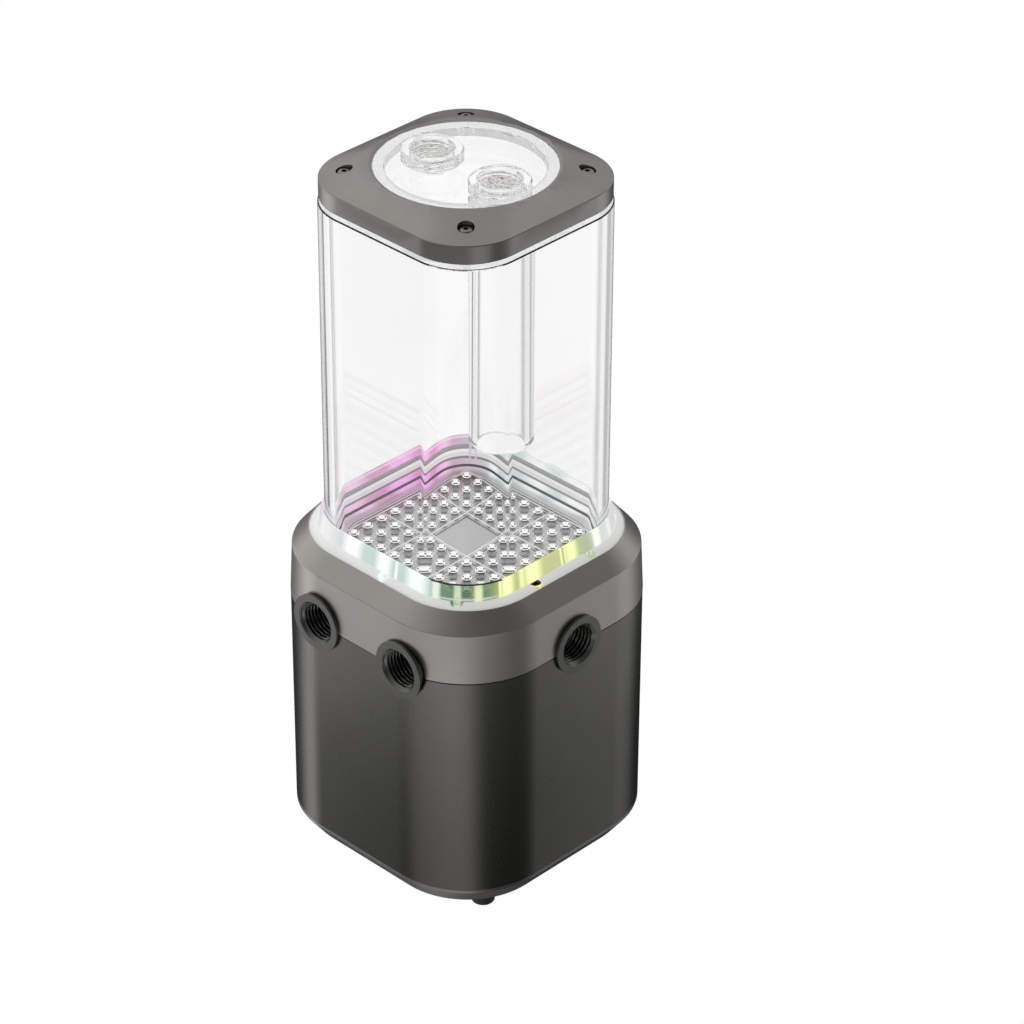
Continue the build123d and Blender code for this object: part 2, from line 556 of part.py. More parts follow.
# ---------------------------------------------------------------- bottom plate
with BuildPart() as bottom_plate:
    with BuildSketch(Plane.XY.offset(Z_FOOT_TOP)):
        RectangleRounded(2 * A_PLATE_LOW, 2 * A_PLATE_LOW, R_PLATE_LOW)
    with BuildSketch(Plane.XY.offset(Z_PLATE_EDGE)):
        RectangleRounded(2 * A_PLATE, 2 * A_PLATE, R_PLATE)
    loft()
    with BuildSketch(Plane.XY.offset(Z_PLATE_EDGE)):
        RectangleRounded(2 * A_PLATE, 2 * A_PLATE, R_PLATE)
    extrude(amount=Z_SLEEVE_BOT - Z_PLATE_EDGE)
    with BuildSketch(Plane.XY.offset(Z_SLEEVE_BOT)):
        RectangleRounded(2 * 44.1, 2 * 44.1, 26.8)
        RectangleRounded(2 * 40.1, 2 * 40.1, 22.8, mode=Mode.SUBTRACT)
    extrude(amount=3.0)
    # shallow hollow above, so that the plate is not solid
    with BuildSketch(Plane.XY.offset(8.6)):
        RectangleRounded(2 * 40.1, 2 * 40.1, 22.8)
        with GridLocations(2 * ROD_X, 2 * ROD_Y, 2, 2):
            Circle(5.0, mode=Mode.SUBTRACT)
        with GridLocations(2 * FOOT_X, 2 * FOOT_Y, 2, 2):
            Circle(4.2, mode=Mode.SUBTRACT)
    extrude(amount=Z_SLEEVE_BOT - 8.6, mode=Mode.SUBTRACT)
    # screws for the tie rods, from below
    with BuildSketch(Plane.XY.offset(Z_FOOT_TOP)):
        with GridLocations(2 * ROD_X, 2 * ROD_Y, 2, 2):
            Circle(3.3)
    extrude(amount=2.6, mode=Mode.SUBTRACT)
    with BuildSketch(Plane.XY.offset(Z_FOOT_TOP)):
        with GridLocations(2 * ROD_X, 2 * ROD_Y, 2, 2):
            Circle(1.8)
        with GridLocations(2 * FOOT_X, 2 * FOOT_Y, 2, 2):
            Circle(2.0)
    extrude(amount=10, mode=Mode.SUBTRACT)
save(bottom_plate, "bottom_plate")

with BuildPart() as bottom_plate_screws:
    with GridLocations(2 * ROD_X, 2 * ROD_Y, 2, 2):
        with Locations((0, 0, 4.56)):
            Cylinder(3.0, 2.1, align=(Align.CENTER, Align.CENTER, Align.MIN))
            Cylinder(1.5, 14.0, align=(Align.CENTER, Align.CENTER, Align.MIN))
    with BuildSketch(Plane.XY.offset(4.56)):
        with GridLocations(2 * ROD_X, 2 * ROD_Y, 2, 2):
            RegularPolygon(1.35, 6)
    extrude(amount=1.3, mode=Mode.SUBTRACT)
save(bottom_plate_screws, "bottom_plate_screws")

with BuildPart() as tie_rods:
    with BuildSketch(Plane.XY.offset(Z_SLEEVE_BOT)):
        with GridLocations(2 * ROD_X, 2 * ROD_Y, 2, 2):
            RegularPolygon(3.0, 6)
    extrude(amount=Z_BLOCK_BOT - Z_SLEEVE_BOT)
    with BuildSketch(Plane.XY.offset(Z_BLOCK_BOT)):
        with GridLocations(2 * ROD_X, 2 * ROD_Y, 2, 2):
            Circle(1.9)
    extrude(amount=3.0)
    with BuildSketch(Plane.XY.offset(Z_SLEEVE_BOT)):
        with GridLocations(2 * ROD_X, 2 * ROD_Y, 2, 2):
            Circle(1.6)
    extrude(amount=12.0, mode=Mode.SUBTRACT)
save(tie_rods, "tie_rods")

with BuildPart() as rubber_feet:
    with BuildSketch():
        with GridLocations(2 * FOOT_X, 2 * FOOT_Y, 2, 2):
            Circle(R_FOOT)
    extrude(amount=Z_FOOT_TOP)
    fillet(rubber_feet.faces().group_by(Axis.Z)[0].edges(), 0.45)
    with BuildSketch(Plane.XY.offset(1.4)):
        with GridLocations(2 * FOOT_X, 2 * FOOT_Y, 2, 2):
            Circle(2.0)
    extrude(amount=5, mode=Mode.SUBTRACT)
save(rubber_feet, "rubber_feet")

with BuildPart() as foot_studs:
    with GridLocations(2 * FOOT_X, 2 * FOOT_Y, 2, 2):
        with Locations((0, 0, 1.4)):
            Cylinder(1.95, 8.4, align=(Align.CENTER, Align.CENTER, Align.MIN))
save(foot_studs, "foot_studs")

# ---------------------------------------------------------------- pump
with BuildPart() as pump_clamp_ring:
    with BuildSketch(Plane.XY.offset(70.4)):
        Circle(38.5)
        Circle(R_CAN + 0.3, mode=Mode.SUBTRACT)
    extrude(amount=Z_BLOCK_BOT - 70.4)
    with BuildSketch(Plane.XY.offset(73.6)):
        Circle(R_FLANGE + 0.2)
    extrude(amount=10, mode=Mode.SUBTRACT)
    with Locations((0, 0, Z_BLOCK_BOT)):
        with PolarLocations(34.6, 8, start_angle=22.5):
            Hole(1.7, 20)
save(pump_clamp_ring, "pump_clamp_ring")

with BuildPart() as pump_clamp_screws:
    with Locations((0, 0, 70.4)):
        with PolarLocations(34.6, 8, start_angle=22.5):
            Cylinder(2.5, 2.6, align=(Align.CENTER, Align.CENTER, Align.MAX))
            Cylinder(1.5, 12.2, align=(Align.CENTER, Align.CENTER, Align.MIN))
    with BuildSketch(Plane.XY.offset(67.8)):
        with PolarLocations(34.6, 8, start_angle=22.5):
            RegularPolygon(1.3, 6)
    extrude(amount=1.6, mode=Mode.SUBTRACT)
save(pump_clamp_screws, "pump_clamp_screws")

with BuildPart() as motor_can:
    with BuildSketch(Plane.XY.offset(73.7)):
        Circle(R_FLANGE)
    extrude(amount=2.3)
    with BuildSketch(Plane.XY.offset(Z_CAN_BOT)):
        Circle(R_CAN)
    extrude(amount=73.7 - Z_CAN_BOT)
    with BuildSketch(Plane.XY.offset(Z_CAN_BOT)):
        Circle(R_CAN - 2.0)
    extrude(amount=60, mode=Mode.SUBTRACT)
    # wire exit
    with BuildSketch(Plane(origin=(0, 40, 38.0), x_dir=(-1, 0, 0), z_dir=(0, -1, 0))):
        SlotOverall(12.0, 4.0)
    extrude(amount=20, mode=Mode.SUBTRACT)
save(motor_can, "motor_can")

with BuildPart() as motor_end_cover:
    with BuildSketch(Plane.XY.offset(Z_CAN_BOT - 1.6)):
        Circle(R_CAN)
    extrude(amount=1.6)
    with BuildSketch(Plane.XY.offset(Z_CAN_BOT)):
        Circle(R_CAN - 2.1)
        Circle(R_CAN - 3.6, mode=Mode.SUBTRACT)
    extrude(amount=2.0)
save(motor_end_cover, "motor_end_cover")

# separation cup: a thin hemispherical bowl with its flange and bearing post
with BuildPart() as separation_cup:
    with BuildSketch(Plane.XZ):
        with BuildLine():
            arc_in = CenterArc((0, Z_BALL), R_BOWL, -90, 90)
            arc_out = CenterArc((0, Z_BALL), R_BOWL + 0.8, -90, 90)
            Line(arc_in @ 0, arc_out @ 0)
            Line(arc_in @ 1, arc_out @ 1)
        make_face()
    revolve(axis=Axis.Z)
    with BuildSketch(Plane.XY.offset(Z_BALL)):
        Circle(R_FLANGE - 0.5)
        Circle(R_BOWL, mode=Mode.SUBTRACT)
    extrude(amount=0.8)
    with BuildSketch(Plane.XY.offset(Z_BALL - R_BOWL - 0.3)):
        Circle(1.9)
    extrude(amount=R_BOWL + 0.3 - 1.0)
    # seat of the ball on the post
    with Locations((0, 0, Z_BALL)):
        Sphere(R_BALL, mode=Mode.SUBTRACT)
save(separation_cup, "separation_cup")

with BuildPart() as bearing_ball:
    with Locations((0, 0, Z_BALL)):
        Sphere(R_BALL)
save(bearing_ball, "bearing_ball")

with BuildPart() as pump_seal:
    with BuildSketch(Plane.XY.offset(76.9)):
        Circle(30.4)
        Circle(27.4, mode=Mode.SUBTRACT)
    extrude(amount=1.1)
save(pump_seal, "pump_seal")

# rotor: magnet dome below, six swept vanes and shroud above
with BuildPart() as rotor_dome:
    with Locations((0, 0, Z_BALL)):
        Sphere(R_BOWL - 0.9)
    with BuildSketch(Plane.XY.offset(Z_BALL + 1.6)):
        Rectangle(80, 80)
    extrude(amount=40, mode=Mode.SUBTRACT)
    # socket that runs on the ball, and room for the post
    with Locations((0, 0, Z_BALL)):
        Sphere(R_BALL + 0.05, mode=Mode.SUBTRACT)
    with BuildSketch(Plane.XY.offset(Z_BALL - R_BOWL - 2)):
        Circle(7.0)
    extrude(amount=R_BOWL + 2 - 1.6, taper=12.5, mode=Mode.SUBTRACT)
save(rotor_dome, "rotor_dome")

with BuildPart() as impeller:
    with BuildSketch(Plane.XY.offset(Z_BALL + 1.6)):
        Circle(20.8)
    extrude(amount=1.8)
    with Locations((0, 0, Z_BALL + 3.4)):
        with PolarLocations(0, 6):
            with Locations(Location((12.8, 0, 0), (0, 0, 1), 35)):
                Box(13.0, 1.3, 6.0, align=(Align.CENTER, Align.CENTER, Align.MIN))
    with BuildSketch(Plane.XY.offset(Z_BALL + 9.4)):
        Circle(20.8)
        Circle(9.4, mode=Mode.SUBTRACT)
    extrude(amount=1.3)
    with BuildSketch(Plane.XY.offset(Z_BALL + 10.7)):
        Circle(10.6)
        Circle(9.4, mode=Mode.SUBTRACT)
    extrude(amount=2.0)
    with Locations((0, 0, Z_BALL)):
        Sphere(R_BALL + 0.6, mode=Mode.SUBTRACT)
save(impeller, "impeller")

# stator: core ring with its poles, windings, and the control board under it
with BuildPart() as stator_core:
    with BuildSketch(Plane.XY.offset(44.0)):
        Circle(R_CAN - 2.3)
        Circle(22.4, mode=Mode.SUBTRACT)
    extrude(amount=14.0)
    with BuildSketch(Plane.XY.offset(46.0)):
        with PolarLocations(17.4, 6):
            Rectangle(10.6, 5.0)
    extrude(amount=6.0)
    with Locations((0, 0, Z_BALL)):
        Sphere(R_BOWL + 1.2, mode=Mode.SUBTRACT)
save(stator_core, "stator_core")

with BuildPart() as stator_windings:
    with BuildSketch(Plane.XY.offset(44.6)):
        with PolarLocations(17.0, 6):
            RectangleRounded(7.6, 7.9, 1.4)
    extrude(amount=8.8)
    with BuildSketch(Plane.XY.offset(45.9)):
        with PolarLocations(17.4, 6):
            Rectangle(12.0, 5.2)
    extrude(amount=6.2, mode=Mode.SUBTRACT)
    with Locations((0, 0, Z_BALL)):
        Sphere(R_BOWL + 1.3, mode=Mode.SUBTRACT)
save(stator_windings, "stator_windings")

with BuildPart() as control_board:
    with BuildSketch(Plane.XY.offset(37.4)):
        Circle(R_CAN - 2.4)
        Circle(3.0, mode=Mode.SUBTRACT)
    extrude(amount=1.6)
save(control_board, "control_board")

with BuildPart() as board_components:
    with Locations((-12, 6, 39.0), (10, -10, 39.0)):
        Cylinder(3.1, 4.6, align=(Align.CENTER, Align.CENTER, Align.MIN))
    with Locations((8, 9, 39.0)):
        Box(9, 7, 1.6, align=(Align.CENTER, Align.CENTER, Align.MIN))
    with Locations((-9, -9, 39.0)):
        Box(6, 5, 1.8, align=(Align.CENTER, Align.CENTER, Align.MIN))
save(board_components, "board_components")
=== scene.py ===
import json
import math

import bpy
from mathutils import Matrix, Vector

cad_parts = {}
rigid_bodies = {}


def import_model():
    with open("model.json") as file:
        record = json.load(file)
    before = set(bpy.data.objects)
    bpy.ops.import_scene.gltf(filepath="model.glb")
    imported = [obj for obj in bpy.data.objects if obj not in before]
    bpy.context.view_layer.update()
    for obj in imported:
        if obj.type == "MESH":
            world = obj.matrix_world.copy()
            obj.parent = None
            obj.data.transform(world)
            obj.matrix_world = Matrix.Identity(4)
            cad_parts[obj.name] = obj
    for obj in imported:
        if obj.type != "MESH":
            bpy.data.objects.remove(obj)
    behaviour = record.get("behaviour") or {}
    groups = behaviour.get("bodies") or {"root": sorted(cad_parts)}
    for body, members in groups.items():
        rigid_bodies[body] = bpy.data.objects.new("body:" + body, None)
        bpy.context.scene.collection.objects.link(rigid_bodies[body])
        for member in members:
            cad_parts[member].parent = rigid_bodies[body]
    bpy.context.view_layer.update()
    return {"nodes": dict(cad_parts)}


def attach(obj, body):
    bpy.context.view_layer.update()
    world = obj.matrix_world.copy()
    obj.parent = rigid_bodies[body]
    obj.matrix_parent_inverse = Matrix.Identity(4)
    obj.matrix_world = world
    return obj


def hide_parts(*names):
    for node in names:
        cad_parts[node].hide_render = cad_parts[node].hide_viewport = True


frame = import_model()
NODES = frame["nodes"]
scene = bpy.context.scene
MM = 0.001
ROOT = "housing"

# ------------------------------------------------------------------ sizes, mm, as in the CAD
A_CAP, R_CAP, WALL_CAP = 35.4, 18.5, 1.4
Z_CAP_BOT, Z_CAP_EDGE, Z_CAP_RIM = 221.2, 226.9, 230.9
Z_CAP_LIP, Z_CAP_IN, Z_BEVEL = 229.6, 225.4, 230.65
R_OPENING, R_RIM = 26.9, 27.85
R_WELL, Z_WELL, Z_LID_TOP = 23.4, 227.6, 230.5
PORT_TOP_X, R_BOSS, Z_BOSS = 13.7, 9.25, 231.0
Z_HEAD = Z_CAP_RIM - 3.9
A_TUBE, R_TUBE, WALL = 35.65, 18.6, 3.0
Z_TUBE_BOT, Z_TUBE_TOP = 99.7, 219.4
Z_LID_BOT = 219.5
Z_PORT, PORT_FACE = 87.4, 47.5
PORTS = {
    "port_insert_left": ((-16.8, -PORT_FACE, Z_PORT), (0, 1, 0)),
    "port_insert_right": ((18.7, -PORT_FACE, Z_PORT), (0, 1, 0)),
    "port_insert_side": ((PORT_FACE, 0, Z_PORT), (-1, 0, 0)),
}
SCREW_XY = 24.6
GUIDE_SCREWS = [
    (4.2, -39.0), (29.9, -34.0), (39.0, -10.0), (39.0, 13.5),
    (-4.2, 39.0), (-29.9, 34.0), (-39.0, 10.0), (-39.0, -13.5),
]


# ------------------------------------------------------------------ mesh helpers
def spaced(i, ns):
    """Share of a flat side at point i: close to both ends, so the corner's curve starts sharply."""
    return 0.0 if i == 0 else 0.003 if i == 1 else 0.997 if i == ns - 1 else (i - 1) / (ns - 2)


def outline(a, r, nc=28, ns=6):
    """Points of a rounded square, anticlockwise, the same count for any size."""
    c, pts = a - r, []
    for q in range(4):
        ca, sa = math.cos(math.pi / 2 * q), math.sin(math.pi / 2 * q)
        side = [(a, -c + 2 * c * spaced(i, ns)) for i in range(ns)]
        side += [(c + r * math.cos(math.pi / 2 * i / nc), c + r * math.sin(math.pi / 2 * i / nc)) for i in range(nc)]
        pts += [(x * ca - y * sa, x * sa + y * ca) for x, y in side]
    return pts


def round_outline(radius, a, r, nc=28, ns=6):
    """A circle whose points pair with those of outline(a, r)."""
    c, pts = a - r, []
    swing = math.atan2(c, a)
    for q in range(4):
        t = [-swing + 2 * swing * spaced(i, ns) for i in range(ns)]
        t += [swing + (math.pi / 2 - 2 * swing) * i / nc for i in range(nc)]
        pts += [(radius * math.cos(math.pi / 2 * q + s), radius * math.sin(math.pi / 2 * q + s)) for s in t]
    return pts


def at(points, z):
    return [(x, y, z) for x, y in points]


def make(name, verts, faces, material, body=ROOT, sharp=30, slot=None, replaces=()):
    mesh = bpy.data.meshes.new(name)
    mesh.from_pydata([(x * MM, y * MM, z * MM) for x, y, z in verts], [], faces)
    mesh.validate()
    mesh.update()
    obj = bpy.data.objects.new(name, mesh)
    scene.collection.objects.link(obj)
    shade(obj, sharp)
    if material is not None:
        obj.data.materials.append(material)
    if body:
        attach(obj, body)
        if replaces:
            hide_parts(*replaces)
    return obj


def shade(obj, sharp=30):
    obj.data.polygons.foreach_set("use_smooth", [True] * len(obj.data.polygons))
    obj.data.set_sharp_from_angle(angle=math.radians(sharp))


def loops_mesh(loops, closed):
    """Vertices and faces of a surface through loops of equal length. Closed joins last to first, else both ends are capped."""
    n, verts, faces = len(loops[0]), [p for lp in loops for p in lp], []
    m = len(loops)
    for k in range(m if closed else m - 1):
        a, b = k * n, ((k + 1) % m) * n
        for i in range(n):
            j = (i + 1) % n
            faces.append((a + i, a + j, b + j, b + i))
    if not closed:
        faces.append(tuple(reversed(range(n))))
        faces.append(tuple((m - 1) * n + i for i in range(n)))
    return verts, faces


def fix_normals(obj):
    import bmesh
    bm = bmesh.new()
    bm.from_mesh(obj.data)
    bmesh.ops.remove_doubles(bm, verts=bm.verts, dist=1e-7)
    bmesh.ops.recalc_face_normals(bm, faces=bm.faces)
    bm.to_mesh(obj.data)
    bm.free()


def loft(name, loops, material, closed=False, **kw):
    verts, faces = loops_mesh(loops, closed)
    sharp = kw.get("sharp", 30)
    obj = make(name, verts, faces, material, **kw)
    fix_normals(obj)
    shade(obj, sharp)
    return obj


def boolean(obj, cutters, operation="DIFFERENCE", sharp=30):
    for cutter in cutters:
        mod = obj.modifiers.new("cut", "BOOLEAN")
        mod.object, mod.operation, mod.solver = cutter, operation, "EXACT"
        deps = bpy.context.evaluated_depsgraph_get()
        mesh = bpy.data.meshes.new_from_object(obj.evaluated_get(deps))
        obj.modifiers.clear()
        old = obj.data
        obj.data = mesh
        bpy.data.meshes.remove(old)
    for cutter in cutters:
        old = cutter.data
        bpy.data.objects.remove(cutter)
        bpy.data.meshes.remove(old)
    shade(obj, sharp)
    return obj


def turned(name, profile, material=None, segments=96, centre=(0, 0, 0), axis=(0, 0, 1), closed=True, **kw):
    """A solid of revolution: profile is (radius, height) pairs, or a function of the angle that gives them."""
    zdir = Vector(axis).normalized()
    xdir = Vector((1, 0, 0)) if abs(zdir.x) < 0.9 else Vector((0, 1, 0))
    xdir = (xdir - zdir * xdir.dot(zdir)).normalized()
    ydir = zdir.cross(xdir)
    c = Vector(centre)
    rings = []
    for s in range(segments):
        t = 2 * math.pi * s / segments
        pts = profile(t) if callable(profile) else profile
        rings.append([tuple(c + (xdir * math.cos(t) + ydir * math.sin(t)) * r + zdir * h) for r, h in pts])
    m = len(rings[0])
    verts, faces = [p for ring in rings for p in ring], []
    for s in range(segments):
        a, b = s * m, ((s + 1) % segments) * m
        for i in range(m if closed else m - 1):
            j = (i + 1) % m
            faces.append((a + i, b + i, b + j, a + j))
    if not closed:
        faces.append(tuple(s * m for s in range(segments)))
        faces.append(tuple(s * m + m - 1 for s in reversed(range(segments))))
    body = kw.pop("body", None)
    sharp = kw.pop("sharp", 30)
    obj = make(name, verts, faces, material, body=body, sharp=sharp, **kw)
    fix_normals(obj)
    shade(obj, sharp)
    return obj


def thread_radius(t, s, length, mouth, minor=5.75, major=6.578, pitch=1.337, runout=1.6):
    """Wall radius of a parallel pipe thread at angle t and depth s below the mouth."""
    fade = min(1.0, max(0.0, (length - s) / runout))
    wave = 0.5 + 0.5 * math.cos(2 * math.pi * (s / pitch - t / (2 * math.pi)))
    wave = max(0.0, min(1.0, (wave - 0.08) / 0.84))
    r = minor + (major - minor) * wave * fade
    return max(r, mouth - s * 0.9)


def thread_profile(t, depth, length, mouth, step=0.11, start=0.0):
    n = int(round((depth - start) / step))
    return [(thread_radius(t, start + (depth - start) * i / n, length, mouth), start + (depth - start) * i / n) for i in range(n + 1)]


# ------------------------------------------------------------------ materials
def principled(name):
    mat = bpy.data.materials.new(name)
    mat.use_nodes = True
    return mat, mat.node_tree.nodes, mat.node_tree.links, mat.node_tree.nodes["Principled BSDF"]


def noise(nodes, links, scale, detail=3.0, rough=0.55, stretch=None):
    tc = nodes.new("ShaderNodeTexCoord")
    tex = nodes.new("ShaderNodeTexNoise")
    tex.inputs["Scale"].default_value = scale
    tex.inputs["Detail"].default_value = detail
    tex.inputs["Roughness"].default_value = rough
    if stretch:
        mapping = nodes.new("ShaderNodeMapping")
        mapping.inputs["Scale"].default_value = stretch
        links.new(tc.outputs["Object"], mapping.inputs["Vector"])
        links.new(mapping.outputs["Vector"], tex.inputs["Vector"])
    else:
        links.new(tc.outputs["Object"], tex.inputs["Vector"])
    return tex


def ramp(nodes, links, source, stops):
    r = nodes.new("ShaderNodeValToRGB")
    els = r.color_ramp.elements
    while len(els) < len(stops):
        els.new(0.5)
    for e, (pos, col) in zip(els, stops):
        e.position = pos
        e.color = (*col, 1) if len(col) == 3 else col
    links.new(source, r.inputs["Fac"])
    return r


def blasted_metal(name, colour, rough, bump=0.05, spread=0.06, grain=2600.0, play=0.03):
    """Bead-blasted anodised aluminium: fine grain in the height and the gloss, faint cloud in the colour."""
    mat, nodes, links, bsdf = principled(name)
    bsdf.inputs["Metallic"].default_value = 1.0
    fine = noise(nodes, links, grain, 2.0, 0.6)
    cloud = noise(nodes, links, 60.0, 3.0, 0.5)
    lo, hi = tuple(c * (1 - spread) for c in colour), tuple(c * (1 + spread) for c in colour)
    col = ramp(nodes, links, cloud.outputs["Fac"], [(0.3, lo), (0.7, hi)])
    links.new(col.outputs["Color"], bsdf.inputs["Base Color"])
    gloss = nodes.new("ShaderNodeMapRange")
    gloss.inputs["To Min"].default_value = rough - play
    gloss.inputs["To Max"].default_value = rough + play
    links.new(fine.outputs["Fac"], gloss.inputs["Value"])
    links.new(gloss.outputs["Result"], bsdf.inputs["Roughness"])
    b = nodes.new("ShaderNodeBump")
    b.inputs["Strength"].default_value = bump
    b.inputs["Distance"].default_value = 0.00004
    links.new(fine.outputs["Fac"], b.inputs["Height"])
    links.new(b.outputs["Normal"], bsdf.inputs["Normal"])
    return mat


def moulded(name, colour, rough, metallic=0.0, spread=0.08, scale=900.0, bump=0.06, specular=0.5):
    mat, nodes, links, bsdf = principled(name)
    bsdf.inputs["Metallic"].default_value = metallic
    bsdf.inputs["Specular IOR Level"].default_value = specular
    tex = noise(nodes, links, scale, 3.0, 0.6)
    lo, hi = tuple(c * (1 - spread) for c in colour), tuple(min(1, c * (1 + spread)) for c in colour)
    col = ramp(nodes, links, tex.outputs["Fac"], [(0.3, lo), (0.7, hi)])
    links.new(col.outputs["Color"], bsdf.inputs["Base Color"])
    gloss = nodes.new("ShaderNodeMapRange")
    gloss.inputs["To Min"].default_value = max(0.02, rough - 0.04)
    gloss.inputs["To Max"].default_value = rough + 0.04
    links.new(tex.outputs["Fac"], gloss.inputs["Value"])
    links.new(gloss.outputs["Result"], bsdf.inputs["Roughness"])
    b = nodes.new("ShaderNodeBump")
    b.inputs["Strength"].default_value = bump
    b.inputs["Distance"].default_value = 0.00005
    links.new(tex.outputs["Fac"], b.inputs["Height"])
    links.new(b.outputs["Normal"], bsdf.inputs["Normal"])
    return mat


def clear(name, tint=(1.0, 1.0, 1.0), ior=1.49, rough=0.0):
    """Polished clear acrylic, with the faintest unevenness of a machined and polished face."""
    mat, nodes, links, bsdf = principled(name)
    bsdf.inputs["Transmission Weight"].default_value = 1.0
    bsdf.inputs["IOR"].default_value = ior
    tex = noise(nodes, links, 8.0, 1.0, 0.4)
    lo = tuple(c * 0.995 for c in tint)
    col = ramp(nodes, links, tex.outputs["Fac"], [(0.3, lo), (0.7, tint)])
    links.new(col.outputs["Color"], bsdf.inputs["Base Color"])
    bsdf.inputs["Roughness"].default_value = rough
    return mat


GUNMETAL = blasted_metal("gunmetal", (0.33, 0.32, 0.30), 0.34)
DARK = blasted_metal("dark_anodised", (0.165, 0.161, 0.150), 0.27, bump=0.012, spread=0.03, grain=4200.0, play=0.015)
PORT = blasted_metal("port_metal", (0.16, 0.157, 0.148), 0.34)
# the collar has the cap's gunmetal finish; its lighter colour is painted light
COLLAR = blasted_metal("collar_metal", (0.45, 0.437, 0.41), 0.38, bump=0.02, spread=0.03, grain=4200.0, play=0.02)
# a far lighter copy of the cap's metal, for its hidden inner faces: painted light
LIGHTER_INNER_METAL = blasted_metal("lighter_inner_metal", (0.90, 0.89, 0.87), 0.55)
SCREW = blasted_metal("screw_steel", (0.28, 0.27, 0.26), 0.30)
ACRYLIC = clear("clear_acrylic")

FLAT = clear("flat_acrylic", tint=(0.980, 0.980, 0.980))
# a greyer acrylic for narrow bands on the dip tube: a painted reflection
PAINTED_REFLECTION_STRIP = clear("painted_reflection_acrylic", tint=(0.82, 0.82, 0.82))


def painted_glow_edge(name, share=0.8, glow_value=0.86):
    """Clear acrylic with a painted glow mixed in: painted light for an edge that gathers the room's light."""
    mat = clear(name)
    nodes, links = mat.node_tree.nodes, mat.node_tree.links
    surface = nodes["Material Output"].inputs["Surface"].links[0].from_socket
    grain = noise(nodes, links, 900.0, 2.0, 0.5)
    tone = ramp(nodes, links, grain.outputs["Fac"], [(0.2, (glow_value * 0.97,) * 3), (0.8, (glow_value,) * 3)])
    glow = nodes.new("ShaderNodeEmission")
    links.new(tone.outputs["Color"], glow.inputs["Color"])
    mix = nodes.new("ShaderNodeMixShader")
    mix.inputs["Fac"].default_value = share
    links.new(surface, mix.inputs[1])
    links.new(glow.outputs[0], mix.inputs[2])
    links.new(mix.outputs[0], nodes["Material Output"].inputs["Surface"])
    return mat


EDGE = painted_glow_edge("painted_glow_edge")
# painted glow for the flat ring round the well and for the well's wall
RIM_PAINTED_GLOW = painted_glow_edge("rim_painted_glow", 0.45, 0.66)
WELL_WALL_PAINTED_GLOW = painted_glow_edge("well_wall_painted_glow", 0.60, 0.68)
RUBBER = moulded("black_rubber", (0.018, 0.018, 0.018), 0.55)
FLOOR_PLATE = moulded("pale_plate", (0.42, 0.42, 0.415), 0.16, metallic=1.0, spread=0.02, bump=0.02)
WHITE_RIM_PAINTED_GLOW = moulded("white_plastic", (0.78, 0.78, 0.77), 0.45, spread=0.01, bump=0.02)
# the white rim gets a painted glow over its plastic colour
WHITE_RIM_PAINTED_GLOW.node_tree.nodes["Principled BSDF"].inputs["Emission Color"].default_value = (1.0, 1.0, 0.985, 1)
WHITE_RIM_PAINTED_GLOW.node_tree.nodes["Principled BSDF"].inputs["Emission Strength"].default_value = 0.36
PEG_PAINTED_GLOW = moulded("polished_peg_painted_glow", (0.88, 0.88, 0.87), 0.12, metallic=1.0, spread=0.02, bump=0.02)
# the pegs get a painted glow over their polished finish
PEG_PAINTED_GLOW.node_tree.nodes["Principled BSDF"].inputs["Emission Color"].default_value = (1.0, 1.0, 1.0, 1)
PEG_PAINTED_GLOW.node_tree.nodes["Principled BSDF"].inputs["Emission Strength"].default_value = 0.17
SHADE = moulded("peg_shade", (0.03, 0.03, 0.03), 0.5)
RIDGE = moulded("ridge", (0.70, 0.70, 0.69), 0.25, metallic=1.0, spread=0.02, bump=0.02)
BOARD = moulded("board_white", (0.80, 0.80, 0.80), 0.4, spread=0.02)
PLASTIC = moulded("dark_plastic", (0.03, 0.03, 0.032), 0.45)
CUP = moulded("cup_plastic", (0.07, 0.07, 0.075), 0.4)
CERAMIC = moulded("ceramic", (0.85, 0.84, 0.80), 0.15, spread=0.01, bump=0.01)
ROTOR = moulded("rotor_plastic", (0.045, 0.045, 0.05), 0.4)
STEEL = moulded("lamination_steel", (0.35, 0.35, 0.36), 0.35, metallic=1.0)
ROD = moulded("rod_steel", (0.55, 0.54, 0.52), 0.28, metallic=1.0, scale=300)
COPPER = moulded("copper", (0.75, 0.33, 0.15), 0.3, metallic=1.0, scale=1500)
GREEN = moulded("board_green", (0.02, 0.14, 0.06), 0.35)
BLACK = moulded("component_black", (0.02, 0.02, 0.02), 0.4)


# colours of the lit ring, by angle round the object: -90 deg is -Y, -45 the front corner, 0 is +X. The ring glows from
# its LEDs; its changes of colour by angle, the dark arc at the front corner among them, are painted light and shade for
# what is seen through it
RING_BASE = [
    (-180, (0.70, 0.26, 0.54)), (-143, (0.66, 0.50, 0.62)), (-134, (0.68, 0.68, 0.70)), (-121, (0.80, 0.80, 0.80)), (-112, (0.64, 0.70, 0.70)), (-102, (0.56, 0.70, 0.64)),
    (-60, (0.52, 0.66, 0.58)), (-55, (0.13, 0.24, 0.13)), (-46, (0.09, 0.18, 0.08)), (-36, (0.12, 0.24, 0.08)), (-31, (0.50, 0.56, 0.22)),
    (-8, (0.56, 0.60, 0.27)), (13, (0.52, 0.58, 0.28)), (20, (0.44, 0.50, 0.34)), (27, (0.68, 0.70, 0.68)), (45, (0.64, 0.65, 0.65)), (70, (0.70, 0.78, 0.78)),
    (110, (0.66, 0.74, 0.74)), (128, (0.60, 0.54, 0.60)), (142, (0.60, 0.36, 0.52)), (160, (0.72, 0.22, 0.52)), (180, (0.70, 0.26, 0.54))]
